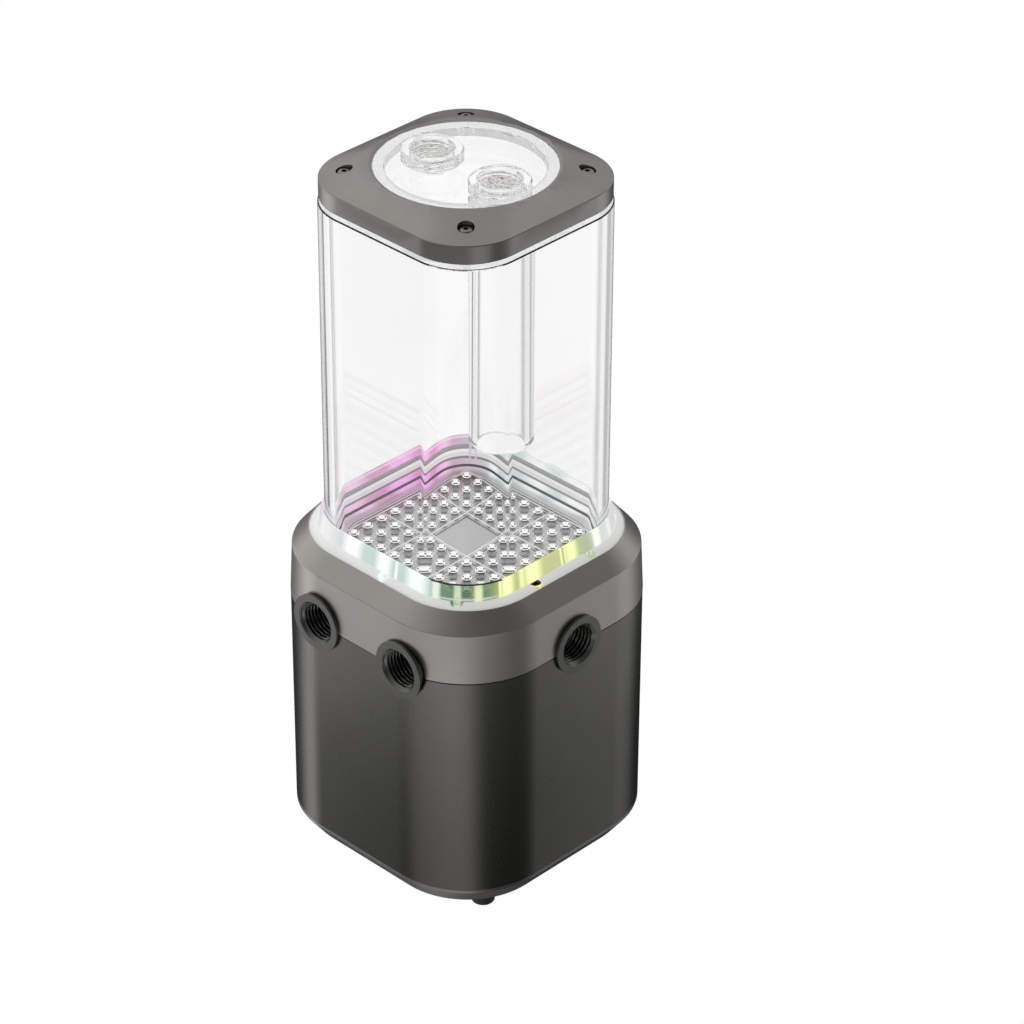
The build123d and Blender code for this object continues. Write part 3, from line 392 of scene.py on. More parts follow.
RING_HOT = [
    (-180, (1.0, 0.46, 0.92)), (-140, (1.0, 0.85, 0.97)), (-118, (0.98, 1.0, 1.0)), (-60, (0.93, 1.0, 0.97)), (-48, (0.85, 0.95, 0.70)), (-40, (0.95, 1.0, 0.56)), (-30, (0.98, 1.0, 0.50)),
    (14, (0.98, 1.0, 0.50)), (24, (0.95, 1.0, 0.90)), (60, (0.95, 1.0, 1.0)), (118, (0.97, 1.0, 1.0)), (140, (1.0, 0.74, 0.96)), (155, (1.0, 0.42, 0.90)), (180, (1.0, 0.46, 0.92))]
# where the ring is brightest: angle, half width, strength
RING_SPOTS = [
    (-161, 5.0, 0.7), (-140, 3.0, 0.5), (-126, 2.0, 0.4), (-106, 4.2, 1.0), (-86, 3.6, 1.0), (-66.5, 4.2, 1.0), (-57, 1.3, 0.9), (-48.5, 1.1, 0.75), (-40.5, 1.3, 0.95),
    (-78, 0.7, 1.0), (-31.8, 0.5, 1.0), (-28.5, 2.4, 1.0), (-21, 1.2, 0.8), (-14.5, 4.0, 1.0), (3.6, 0.5, 1.0), (6.2, 0.4, 1.0), (10, 2.8, 1.0), (25.2, 1.6, 1.0), (34, 1.2, 0.5),
    (52, 4.0, 0.6), (72, 7.0, 1.0), (98, 6.0, 0.9), (118, 3.0, 0.8), (150, 4.0, 0.8), (168, 7.0, 1.0)]


def angle_ramp(nodes, links, source, stops):
    g = nodes.new("ShaderNodeValToRGB")
    e = g.color_ramp.elements
    while len(e) < len(stops):
        e.new(0.5)
    for el, (deg, v) in zip(e, stops):
        el.position = (deg + 180) / 360
        el.color = (*v, 1) if isinstance(v, tuple) else (v, v, v, 1)
    links.new(source, g.inputs["Fac"])
    return g.outputs["Color"]


def ring_nodes(nodes, links):
    """Returns the position, the turn (0 to 1), the base and hot colours and the spot strength."""
    tc = nodes.new("ShaderNodeTexCoord")
    sep = nodes.new("ShaderNodeSeparateXYZ")
    links.new(tc.outputs["Object"], sep.inputs[0])
    angle = nodes.new("ShaderNodeMath")
    angle.operation = "ARCTAN2"
    links.new(sep.outputs["Y"], angle.inputs[0])
    links.new(sep.outputs["X"], angle.inputs[1])
    turn = nodes.new("ShaderNodeMapRange")
    turn.inputs["From Min"].default_value = -math.pi
    turn.inputs["From Max"].default_value = math.pi
    links.new(angle.outputs[0], turn.inputs["Value"])
    total = None
    for deg, half, strength in RING_SPOTS:
        off = nodes.new("ShaderNodeMath")
        off.operation = "SUBTRACT"
        off.inputs[1].default_value = math.radians(deg)
        links.new(angle.outputs[0], off.inputs[0])
        size = nodes.new("ShaderNodeMath")
        size.operation = "ABSOLUTE"
        links.new(off.outputs[0], size.inputs[0])
        m = nodes.new("ShaderNodeMapRange")
        m.interpolation_type = "SMOOTHSTEP"
        m.inputs["From Min"].default_value, m.inputs["From Max"].default_value = math.radians(half * 0.45), math.radians(half * 1.9)
        m.inputs["To Min"].default_value, m.inputs["To Max"].default_value = strength, 0.0
        links.new(size.outputs[0], m.inputs["Value"])
        if total is None:
            total = m.outputs[0]
        else:
            mx = nodes.new("ShaderNodeMath")
            mx.operation = "MAXIMUM"
            links.new(total, mx.inputs[0])
            links.new(m.outputs[0], mx.inputs[1])
            total = mx.outputs[0]
    base = angle_ramp(nodes, links, turn.outputs[0], RING_BASE)
    hot = angle_ramp(nodes, links, turn.outputs[0], RING_HOT)
    return sep, turn, base, hot, total


def blend(nodes, links, factor, a, b):
    m = nodes.new("ShaderNodeMix")
    m.data_type = "RGBA"
    for socket, value in (("Factor", factor), ("A", a), ("B", b)):
        if isinstance(value, (int, float)):
            m.inputs[socket].default_value = value
        elif isinstance(value, tuple):
            m.inputs[socket].default_value = (*value, 1)
        else:
            links.new(value, m.inputs[socket])
    return m.outputs["Result"]


def lit_acrylic(name, share=0.88):
    """Clear ring with light in it: glow of its own over what is seen through it."""
    mat, nodes, links, bsdf = principled(name)
    bsdf.inputs["Transmission Weight"].default_value = 1.0
    bsdf.inputs["IOR"].default_value = 1.49
    bsdf.inputs["Roughness"].default_value = 0.08
    sep, turn, base, hot, total = ring_nodes(nodes, links)
    tint = angle_ramp(nodes, links, turn.outputs[0], [(-180, 0.95), (180, 0.96)])
    links.new(tint, bsdf.inputs["Base Color"])
    glow = nodes.new("ShaderNodeEmission")
    glow.inputs["Strength"].default_value = 1.08
    # a pale painted line round the front corner at one height
    height = nodes.new("ShaderNodeMapRange")
    height.inputs["From Min"].default_value, height.inputs["From Max"].default_value = 0.1074, 0.1154
    links.new(sep.outputs["Z"], height.inputs["Value"])
    arc = nodes.new("ShaderNodeValToRGB")
    e = arc.color_ramp.elements
    for _ in range(3):
        e.new(0.5)
    for el, (pos, v) in zip(e, ((0.0, 0.0), (0.36, 0.0), (0.42, 0.85), (0.48, 0.0), (1.0, 0.0))):
        el.position = pos
        el.color = (v, v, v, 1)
    links.new(height.outputs[0], arc.inputs["Fac"])
    corner = nodes.new("ShaderNodeMath")
    corner.operation = "MULTIPLY"
    links.new(arc.outputs["Color"], corner.inputs[0])
    links.new(angle_ramp(nodes, links, turn.outputs[0], [(-180, 0.0), (-58, 0.0), (-54, 1.0), (-36, 1.0), (-32, 0.0), (180, 0.0)]), corner.inputs[1])
    lit = blend(nodes, links, total, base, hot)
    links.new(blend(nodes, links, corner.outputs[0], lit, (0.80, 0.84, 0.78)), glow.inputs["Color"])
    mix = nodes.new("ShaderNodeMixShader")
    links.new(angle_ramp(nodes, links, turn.outputs[0], [(-180, share), (-60, share), (-54, 0.8 * share), (-36, 0.8 * share), (-31, share), (180, share)]), mix.inputs["Fac"])
    links.new(bsdf.outputs[0], mix.inputs[1])
    links.new(glow.outputs[0], mix.inputs[2])
    links.new(mix.outputs[0], nodes["Material Output"].inputs["Surface"])
    return mat


def lit_wall(name):
    """The ring's inner wall: from the tank it shows painted level bands of light and shade, standing in for the parts
    seen through it; from inside the ring it is clear.
    """
    mat, nodes, links, bsdf = principled(name)
    bsdf.inputs["Transmission Weight"].default_value = 1.0
    bsdf.inputs["IOR"].default_value = 1.49
    bsdf.inputs["Roughness"].default_value = 0.02
    sep, turn, base, hot, total = ring_nodes(nodes, links)
    tint = angle_ramp(nodes, links, turn.outputs[0], [(-180, 0.97), (180, 0.98)])
    links.new(tint, bsdf.inputs["Base Color"])
    lit = blend(nodes, links, total, base, hot)
    level = nodes.new("ShaderNodeMapRange")
    level.inputs["From Min"].default_value, level.inputs["From Max"].default_value = 0.1015, 0.1155
    links.new(sep.outputs["Z"], level.inputs["Value"])

    def z(mm):
        return (mm - 101.5) / 14.0

    def bands(stops):
        g = nodes.new("ShaderNodeValToRGB")
        e = g.color_ramp.elements
        while len(e) < len(stops):
            e.new(0.5)
        for el, (pos, v) in zip(e, stops):
            el.position = z(pos)
            el.color = (v, v, v, 1)
        links.new(level.outputs[0], g.inputs["Fac"])
        return g.outputs["Color"]
    grey = bands([(101.5, 0.60), (103.6, 0.72), (105.9, 0.80), (106.1, 0.70), (106.9, 0.66), (107.05, 0.13), (107.75, 0.13), (108.0, 0.72), (108.9, 0.70), (109.05, 0.52), (109.2, 0.80),
                  (110.3, 0.84), (110.55, 0.20), (112.1, 0.24), (112.45, 0.60), (114.6, 0.80), (115.2, 0.88)])
    colour = bands([(101.5, 0.5), (103.9, 0.6), (104.1, 1.0), (106.9, 1.0), (107.1, 0.12), (107.9, 0.1), (108.1, 0.05), (110.6, 0.0), (112.2, 0.08), (112.5, 1.0), (114.3, 1.0), (114.7, 0.35), (115.2, 0.2)])
    glow = nodes.new("ShaderNodeEmission")
    links.new(blend(nodes, links, colour, grey, lit), glow.inputs["Color"])
    side = nodes.new("ShaderNodeNewGeometry")
    share = nodes.new("ShaderNodeMapRange")
    share.inputs["To Min"].default_value, share.inputs["To Max"].default_value = 0.94, 0.0
    links.new(side.outputs["Backfacing"], share.inputs["Value"])
    mix = nodes.new("ShaderNodeMixShader")
    links.new(share.outputs[0], mix.inputs["Fac"])
    links.new(bsdf.outputs[0], mix.inputs[1])
    links.new(glow.outputs[0], mix.inputs[2])
    links.new(mix.outputs[0], nodes["Material Output"].inputs["Surface"])
    return mat


GUIDE = lit_acrylic("lit_acrylic")


def floor_glow(name):
    """The floor's polished edge: the wall's colours painted on as reflected light, strongest towards the wall and
    behind.
    """
    mat = moulded(name, (0.42, 0.42, 0.415), 0.16, metallic=1.0, spread=0.02, bump=0.02)
    nodes, links = mat.node_tree.nodes, mat.node_tree.links
    sep, turn, base, hot, total = ring_nodes(nodes, links)
    glow = nodes.new("ShaderNodeEmission")
    links.new(blend(nodes, links, total, base, hot), glow.inputs["Color"])
    level = nodes.new("ShaderNodeMapRange")
    level.inputs["From Min"].default_value, level.inputs["From Max"].default_value = 0.10587, 0.10599
    level.inputs["To Min"].default_value, level.inputs["To Max"].default_value = 0.15, 0.92
    links.new(sep.outputs["Z"], level.inputs["Value"])
    behind = angle_ramp(nodes, links, turn.outputs[0], [(-180, 1.0), (-140, 1.0), (-128, 0.1), (38, 0.1), (50, 1.0), (180, 1.0)])
    part = nodes.new("ShaderNodeMath")
    part.operation = "MULTIPLY"
    links.new(level.outputs[0], part.inputs[0])
    links.new(behind, part.inputs[1])
    mix = nodes.new("ShaderNodeMixShader")
    links.new(part.outputs[0], mix.inputs["Fac"])
    links.new(nodes["Principled BSDF"].outputs[0], mix.inputs[1])
    links.new(glow.outputs[0], mix.inputs[2])
    links.new(mix.outputs[0], nodes["Material Output"].inputs["Surface"])
    return mat


FLOOR_GLOW = floor_glow("floor_glow")
BOSS = lit_acrylic("boss_acrylic", share=0.55)
GUIDE_WALL = lit_wall("lit_wall")


def lens_material():
    mat, nodes, links, bsdf = principled("led_lens")
    tex = noise(nodes, links, 500.0, 1.0, 0.5)
    col = ramp(nodes, links, tex.outputs["Fac"], [(0.3, (0.92, 0.9, 0.8)), (0.7, (0.98, 0.96, 0.88))])
    links.new(col.outputs["Color"], bsdf.inputs["Base Color"])
    bsdf.inputs["Roughness"].default_value = 0.2
    return mat


LENS = lens_material()

# carried-over CAD nodes: each gets its procedural finish
FINISH = {
    "tube_foot_gasket": RUBBER, "plug_seal": RUBBER, "seam_gasket": RUBBER, "port_seals": RUBBER, "pump_seal": RUBBER, "floor_seal": RUBBER,
    "floor_plate": FLOOR_PLATE, "led_board": BOARD, "led_chips": LENS, "light_guide_screws": SCREW,
    "pump_clamp_ring": PLASTIC, "motor_can": PLASTIC, "motor_end_cover": PLASTIC, "separation_cup": CUP, "bearing_ball": CERAMIC,
    "rotor_dome": ROTOR, "impeller": ROTOR, "stator_core": STEEL, "stator_windings": COPPER, "control_board": GREEN,
    "board_components": BLACK, "tie_rods": ROD, "pump_clamp_screws": SCREW, "foot_studs": SCREW, "bottom_plate_screws": SCREW,
    "cable_grommet": RUBBER, "pump_block": ACRYLIC,
}
for node_name, node in NODES.items():
    finish = FINISH.get(node_name, GUNMETAL)
    node.data.materials.clear()
    node.data.materials.append(finish)


# ------------------------------------------------------------------ top cap
def between(lower, upper, z0, z1, steps):
    """Loops on the ruled slope from one outline to another."""
    return [[(x0 + (x1 - x0) * f, y0 + (y1 - y0) * f, z0 + (z1 - z0) * f) for (x0, y0), (x1, y1) in zip(lower, upper)] for f in steps]


def build_cap():
    """A thin shell: slopes from a rounded square up to the round window, with pads under the screw heads."""
    body_loops = [
        at(outline(A_CAP - 0.1, R_CAP - 0.1), Z_CAP_BOT),
        at(outline(A_CAP, R_CAP), Z_CAP_BOT + 0.1),
        at(outline(A_CAP, R_CAP), Z_CAP_EDGE - 0.18),
    ]
    body_loops += between(outline(A_CAP, R_CAP), round_outline(R_RIM, A_CAP, R_CAP), Z_CAP_EDGE, Z_CAP_RIM, (0.012, 0.25, 0.5, 0.75, 1.0))
    cap = loft("top_cap_frame_metal", body_loops, GUNMETAL, replaces=("top_cap_frame",), slot="gunmetal", sharp=24)
    a, r = A_CAP - WALL_CAP, R_CAP - WALL_CAP
    hollow_loops = [at(outline(a, r), Z_CAP_BOT - 1), at(outline(a, r), Z_CAP_IN)]
    hollow_loops += between(outline(a, r), round_outline(R_OPENING, a, r), Z_CAP_IN, Z_CAP_LIP, (0.5, 1.0))
    hollow = loft("hollow", hollow_loops, None, body=None)
    pads = [turned("pad", [(3.7, 0.0), (3.7, 12.0)], closed=False, segments=48, centre=(sx * SCREW_XY, sy * SCREW_XY, Z_HEAD - 1.4)) for sx in (-1, 1) for sy in (-1, 1)]
    boolean(hollow, pads)
    window = turned("window", [(R_OPENING, Z_CAP_LIP - 2), (R_OPENING, Z_BEVEL), (R_RIM - 0.05, Z_CAP_RIM + 0.001), (R_RIM - 0.05, Z_CAP_RIM + 5)], closed=False, segments=192)
    bores = []
    for sx in (-1, 1):
        for sy in (-1, 1):
            bores.append(turned("counterbore", [(1.6, 0.0), (1.6, Z_HEAD - 220), (2.4, Z_HEAD - 220), (2.5, Z_HEAD - 219.9), (2.5, 14.0)],
                                closed=False, segments=64, centre=(sx * SCREW_XY, sy * SCREW_XY, 220)))
    boolean(cap, [hollow, window] + bores, sharp=24)
    # the hidden inner faces take a far lighter metal than the outside: painted light, so that the pocket reads light
    # grey through the lid
    cap.data.materials.append(LIGHTER_INNER_METAL)
    for face in cap.data.polygons:
        c, n = face.center / MM, face.normal
        inward = Vector((c.x, c.y, 0)).normalized().dot(n)
        if (n.z < -0.2 and c.z > Z_CAP_BOT + 0.5) or (inward < -0.5 and c.z < Z_CAP_LIP and math.hypot(c.x, c.y) > R_OPENING + 0.3 and min(math.hypot(abs(c.x) - SCREW_XY, abs(c.y) - SCREW_XY), 9) > 2.8):
            face.material_index = 1
    return cap


build_cap()


def build_cap_screws():
    """Four button-head screws with hexagon sockets."""
    head, verts, faces = Z_HEAD, [], []
    seg = 48
    for sx in (-1, 1):
        for sy in (-1, 1):
            base = len(verts)
            hexr = lambda t: 0.85 / math.cos(((t + math.pi / 6) % (math.pi / 3)) - math.pi / 6) * math.cos(math.pi / 6)
            rings = [(1.45, head - 6.0), (1.45, head), (1.95, head), (2.05, head + 0.12), (2.05, head + 0.9), (1.9, head + 1.2), (1.6, head + 1.42), (1.25, head + 1.5)]
            for r, z in rings:
                verts += [(sx * SCREW_XY + r * math.cos(2 * math.pi * i / seg), sy * SCREW_XY + r * math.sin(2 * math.pi * i / seg), z) for i in range(seg)]
            for z in (head + 1.5, head + 0.5):
                verts += [(sx * SCREW_XY + hexr(2 * math.pi * i / seg) * math.cos(2 * math.pi * i / seg), sy * SCREW_XY + hexr(2 * math.pi * i / seg) * math.sin(2 * math.pi * i / seg), z) for i in range(seg)]
            count = len(rings) + 2
            for k in range(count - 1):
                for i in range(seg):
                    j = (i + 1) % seg
                    faces.append((base + k * seg + i, base + k * seg + j, base + (k + 1) * seg + j, base + (k + 1) * seg + i))
            faces.append(tuple(base + i for i in reversed(range(seg))))
            faces.append(tuple(base + (count - 1) * seg + i for i in range(seg)))
    obj = make("top_cap_screws_hex", verts, faces, SCREW, replaces=("top_cap_screws",), slot="screw_steel")
    fix_normals(obj)
    shade(obj, 28)


build_cap_screws()


# ------------------------------------------------------------------ lid, tube, dip tube
def build_lid():
    """The clear lid fills the thin frame from below and stands flush in its window."""
    a, r, e = A_CAP - WALL_CAP - 0.1, R_CAP - WALL_CAP - 0.1, 0.1
    c = lambda radius: round_outline(radius, a, r)
    loops = [
        at(outline(35.3 - e, 18.4 - e), Z_LID_BOT), at(outline(35.3, 18.4), Z_LID_BOT + e),
        at(outline(35.3, 18.4), 221.1), at(outline(a, r), 221.15), at(outline(a, r), Z_CAP_IN - 0.1),
    ]
    loops += between(outline(a, r), c(R_OPENING - 0.1), Z_CAP_IN - 0.1, Z_CAP_LIP - 0.1, (0.5, 1.0))
    loops += [at(c(R_OPENING - 0.1), Z_LID_TOP - e), at(c(R_OPENING - 0.1 - e), Z_LID_TOP),
              at(c(R_WELL + 0.2), Z_LID_TOP), at(c(R_WELL), Z_LID_TOP - 0.2), at(c(R_WELL), Z_WELL)]
    lid = loft("reservoir_lid_acrylic", loops, ACRYLIC, replaces=("reservoir_lid",), slot="clear_acrylic")
    bosses = [turned("boss", [(R_BOSS, 0.0), (R_BOSS, 6.5), (R_BOSS - 0.5, 7.0)], closed=False, centre=(x, 0, Z_BOSS - 7.0)) for x in (-PORT_TOP_X, PORT_TOP_X)]
    boolean(lid, bosses, "UNION")
    cuts = []
    for x in (-PORT_TOP_X, PORT_TOP_X):
        def prof(t):
            return [(7.1, -1.0)] + thread_profile(t, 12.0, 9.5, 6.8)
        cuts.append(turned("tap", prof, closed=False, centre=(x, 0, Z_BOSS), axis=(0, 0, -1), segments=72))
    for sx in (-1, 1):
        for sy in (-1, 1):
            cuts.append(turned("pocket", [(1.5, 0.0), (1.5, 4.7), (3.8, 4.7), (3.8, 14.0)], closed=False, segments=48, centre=(sx * SCREW_XY, sy * SCREW_XY, Z_HEAD - 6.2)))
    boolean(lid, cuts)
    lid.data.materials.append(EDGE)
    lid.data.materials.append(RIM_PAINTED_GLOW)
    lid.data.materials.append(WELL_WALL_PAINTED_GLOW)
    # the lid's lower outer rim, the flat ring round the well and the well's wall take painted glow
    for face in lid.data.polygons:
        c = face.center / MM
        if c.z < 221.12 and abs(face.normal.z) < 0.8 and max(abs(c.x), abs(c.y)) > 20 and math.hypot(abs(c.x) - SCREW_XY, abs(c.y) - SCREW_XY) > 5:
            face.material_index = 1
        reach = math.hypot(c.x, c.y)
        if c.z > Z_LID_TOP - 0.15 and face.normal.z > 0.8 and R_WELL < reach < R_OPENING:
            face.material_index = 2
        if Z_WELL < c.z < Z_LID_TOP and abs(face.normal.z) < 0.5 and abs(reach - R_WELL) < 0.3:
            face.material_index = 3
    return lid


build_lid()

loft("reservoir_tube_acrylic", [
    at(outline(A_TUBE - 0.2, R_TUBE - 0.2, 48), Z_TUBE_BOT), at(outline(A_TUBE, R_TUBE, 48), Z_TUBE_BOT + 0.2),
    at(outline(A_TUBE, R_TUBE, 48), Z_TUBE_TOP - 0.2), at(outline(A_TUBE - 0.2, R_TUBE - 0.2, 48), Z_TUBE_TOP),
    at(outline(A_TUBE - WALL + 0.2, R_TUBE - WALL + 0.2, 48), Z_TUBE_TOP), at(outline(A_TUBE - WALL, R_TUBE - WALL, 48), Z_TUBE_TOP - 0.2),
    at(outline(A_TUBE - WALL, R_TUBE - WALL, 48), Z_TUBE_BOT + 0.2), at(outline(A_TUBE - WALL + 0.2, R_TUBE - WALL + 0.2, 48), Z_TUBE_BOT),
], ACRYLIC, closed=True, replaces=("reservoir_tube",), slot="clear_acrylic")
for tube in [o for o in bpy.data.objects if o.name.startswith("reservoir_tube_acrylic")]:
    tube.data.materials.append(FLAT)
    for face in tube.data.polygons:
        if max(abs(face.normal.x), abs(face.normal.y)) > 0.99995:
            face.material_index = 1


def build_dip_tube():
    prof = [(6.3, Z_LID_BOT - 0.05), (9.1, Z_LID_BOT - 0.05)]
    prof += [(8.0 + 1.1 * math.cos(math.radians(a)), 146.1 - 1.1 * math.sin(math.radians(a))) for a in range(0, 91, 10)]
    prof += [(6.8 - 0.5 * math.sin(math.radians(a)), 145.5 - 0.5 * math.cos(math.radians(a))) for a in range(0, 91, 15)]
    tube = turned("dip_tube_acrylic", prof, ACRYLIC, centre=(PORT_TOP_X, 0, 0), body=ROOT, replaces=("dip_tube",), slot="clear_acrylic")
    tube.data.materials.append(PAINTED_REFLECTION_STRIP)
    # faces in two narrow bands of angle round the dip tube take the greyer acrylic: a painted reflection
    for face in tube.data.polygons:
        c = face.center / MM
        turn = math.degrees(math.atan2(c.y, c.x - PORT_TOP_X))
        if c.z > 146.2 and math.hypot(c.x - PORT_TOP_X, c.y) > 8.5 and (10 < turn < 80 or -105 < turn < -94):
            face.material_index = 1


build_dip_tube()


# ------------------------------------------------------------------ floor grid
def build_floor_grid():
    z0, z1 = 104.14, 105.8
    loops = [
        at(outline(32.1, 15.1), z0), at(outline(32.1, 15.1), 105.0), at(outline(31.6, 14.6), 105.05), at(outline(31.6, 14.6), z1),
    ]
    return loft("floor_grid_acrylic", loops, ACRYLIC, replaces=("floor_grid",), slot="clear_acrylic")


build_floor_grid()
loft("floor_seal_rubber", [
    at(outline(32.5, 15.5), 105.15), at(outline(32.5, 15.5), 106.3), at(outline(32.4, 15.4), 106.4), at(outline(31.8, 14.8), 106.4), at(outline(31.7, 14.7), 106.3), at(outline(31.7, 14.7), 105.15),
], RUBBER, closed=True, replaces=("floor_seal",), slot="black_rubber")


def build_pegs():
    """Low round bosses with a blind hole in each, on a square pitch round the bare centre. Some faces take painted
    shade: dark strokes beside the hole and a dark crescent at the front.
    """
    verts, faces, dark = [], [], []
    seg = 32
    for i in range(-4, 5):
        for j in range(-4, 5):
            if max(abs(i), abs(j)) <= 1:
                continue
            cx, cy = i * 5.8, j * 5.8
            if max(abs(cx), abs(cy)) > 17 and math.hypot(max(abs(cx) - 16.5, 0), max(abs(cy) - 16.5, 0)) > 13.3:
                continue
            base = len(verts)
            rings = [(1.70, 105.82), (1.70, 106.35), (1.58, 106.62), (1.30, 106.78), (1.05, 106.76), (0.86, 106.6), (0.84, 105.95), (0.4, 105.95)]
            for r, z in rings:
                verts += [(cx + r * math.cos(2 * math.pi * s / seg), cy + r * math.sin(2 * math.pi * s / seg), z) for s in range(seg)]
            for k in range(len(rings) - 1):
                for s in range(seg):
                    t = (s + 1) % seg
                    faces.append((base + k * seg + s, base + k * seg + t, base + (k + 1) * seg + t, base + (k + 1) * seg + s))
                    turn = (math.degrees(2 * math.pi * (s + 0.5) / seg) + 45) % 360
                    beside = min(abs(turn - 90), abs(turn - 270)) < 18
                    front = min(turn, 360 - turn) < 40
                    # painted shade: strokes beside the hole, the front of the top and a crescent low on the front
                    dark.append((k in (3, 4) and beside) or (k in (2, 3) and front and min(turn, 360 - turn) < 30) or (k == 0 and min(turn, 360 - turn) < 50))
            faces.append(tuple(base + s for s in reversed(range(seg))))
            faces.append(tuple(base + (len(rings) - 1) * seg + s for s in range(seg)))
            dark += [False, False]
    obj = make("floor_grid_pegs", verts, faces, PEG_PAINTED_GLOW, slot="clear_acrylic")
    obj.data.materials.append(SHADE)
    for face, low in zip(obj.data.polygons, dark):
        face.material_index = 1 if low else 0
    fix_normals(obj)
    shade(obj, 40)


build_pegs()


def build_ridges():
    """Fine ridges that divide the floor into nine tiles, and one round its edge."""
    verts, faces = [], []
    z0, z1, half, top, reach = 105.82, 105.98, 0.34, 0.20, 26.0
    for pos in (-26.1, -8.7, 8.7, 26.1):
        for turned_round in (False, True):
            base = len(verts)
            for end in (-reach, reach):
                lift = 0.01 if turned_round else 0.0
                for off, z in ((-half, z0), (-top, z1 + lift), (top, z1 + lift), (half, z0)):
                    p = (pos + off, end, z)
                    verts.append((p[1], p[0], p[2]) if turned_round else p)
            faces += [(base, base + 1, base + 2, base + 3), (base + 4, base + 7, base + 6, base + 5)]
            faces += [(base + k, base + 4 + k, base + 4 + (k + 1) % 4, base + (k + 1) % 4) for k in range(4)]
    obj = make("floor_grid_ridges", verts, faces, RIDGE, slot="clear_acrylic")
    fix_normals(obj)
    loft("floor_grid_border", [
        at(outline(27.6, 10.6), 105.82), at(outline(27.5, 10.5), 106.0), at(outline(27.1, 10.1), 106.0), at(outline(27.0, 10.0), 105.82),
    ], RIDGE, closed=True, slot="clear_acrylic")


build_ridges()


def build_floor_edge():
    """Polished slope round the floor's edge, with the ring's light painted on it as a reflection."""
    loft("floor_grid_slope", [
        at(outline(31.6, 14.6), 105.83), at(outline(31.6, 14.6), 105.99), at(outline(31.5, 14.5), 106.0), at(outline(28.0, 11.0), 105.86), at(outline(27.9, 10.9), 105.83),
    ], FLOOR_GLOW, closed=True, slot="clear_acrylic")


build_floor_edge()


# ------------------------------------------------------------------ light ring
def slope(z, out=0.0):
    """The ring's outer slope at that height."""
    return outline(38.2 - 0.1835 * (z - 107.4) + out, 21.3 - 0.2025 * (z - 107.4) + out)


def build_light_guide():
    loops = [
        at(outline(35.95, 18.9), 101.4), at(outline(35.95, 18.9), 115.2), at(outline(36.1, 19.05), 115.3), at(outline(36.6, 19.55), 115.3),
        at(outline(36.77, 19.72), 115.15), at(slope(111.0), 111.0), at(slope(107.4), 107.4), at(outline(40.3, 23.3), 107.4), at(outline(40.3, 23.3), 101.4),
    ]
    guide = loft("light_guide_acrylic", loops, GUIDE, closed=True, replaces=("light_guide",), slot="clear_acrylic")
    spots = [(x * 0.985, y * 0.985) for x, y in GUIDE_SCREWS]
    bosses = [turned("boss", [(1.9, 0.0), (1.9, 6.7), (1.75, 6.9)], closed=False, segments=48, centre=(x, y, 103.0)) for x, y in spots]
    boolean(guide, bosses, "UNION")
    boolean(guide, [turned("hole", [(0.95, 0.0), (0.95, 14.0)], closed=False, segments=32, centre=(x, y, 100.0)) for x, y in GUIDE_SCREWS])
    guide.data.materials.append(GUIDE_WALL)
    guide.data.materials.append(BOSS)
    guide.data.materials.append(RUBBER)
    for face in guide.data.polygons:
        c, n = face.center / MM, face.normal
        near_boss = min(math.hypot(c.x - x, c.y - y) for x, y in spots)
        near_hole = min(math.hypot(c.x - x, c.y - y) for x, y in GUIDE_SCREWS)
        if near_hole < 0.97 and c.z > 102:
            face.material_index = 3 if c.x > 30 and -30 < c.y < 0 else 2
            continue
        # the ring's top faces at the front corner take the black rubber finish: a painted dark arc
        if c.z > 115.0 and -60 < math.degrees(math.atan2(c.y, c.x)) < -31 and math.hypot(c.x, c.y) > 40:
            face.material_index = 3
            continue
        if near_boss < 1.95 and c.z > 107.5 and (n.z > 0.9 or (near_boss > 1.84 and abs(n.z) < 0.1)):
            face.material_index = 2
            continue
        a = max(abs(c.x), abs(c.y))
        inside = a < 36.05 and (a > 35.85 or math.hypot(abs(c.x) - 17.05, abs(c.y) - 17.05) < 19.0)
        if abs(n.z) < 0.2 and Vector((c.x, c.y, 0)).dot(n) < 0 and inside:
            face.material_index = 1
    return guide


build_light_guide()


def build_rim():
    loops = [
        at(outline(40.45, 23.45), 107.5), at(outline(40.45, 23.45), 108.6), at(outline(40.37, 23.37), 108.75),
        at(outline(38.1, 21.1), 110.23), at(outline(37.95, 20.95), 110.3), at(slope(110.25, 0.13), 110.25), at(slope(107.5, 0.13), 107.5),
    ]
    rim = loft("diffuser_rim_white", loops, WHITE_RIM_PAINTED_GLOW, closed=True, replaces=("diffuser_rim",), slot="white_plastic")
    boolean(rim, [turned("notch", [(2.0, 0.0), (2.0, 8.0)], closed=False, segments=48, centre=(x * 0.985, y * 0.985, 105.0)) for x, y in GUIDE_SCREWS])


build_rim()


# ------------------------------------------------------------------ collar, sleeve, bottom plate
def port_cutters(radius):
    made = []
    for (x, y, z), axis in PORTS.values():
        made.append(turned("notch", [(radius, 0.0), (radius, 30.0)], closed=False, segments=96, centre=(x - axis[0] * 10, y - axis[1] * 10, z), axis=axis))
    return made


def build_collar():
    loops = [
        at(outline(44.2, 26.9), 87.0), at(outline(46.35, 29.2), 87.0), at(outline(46.45, 29.3), 87.1),
        at(outline(45.81, 28.91), 103.1), at(outline(45.75, 28.85), 103.25),
        at(outline(40.82, 23.84), 108.9), at(outline(40.66, 23.68), 109.0), at(outline(40.5, 23.5), 108.85),
        at(outline(40.5, 23.5), 98.9), at(outline(44.2, 26.9), 98.9),
    ]
    collar = loft("collar_ring_metal", loops, COLLAR, closed=True, replaces=("collar_ring",), slot="gunmetal", sharp=12)
    boolean(collar, port_cutters(8.5), sharp=12)


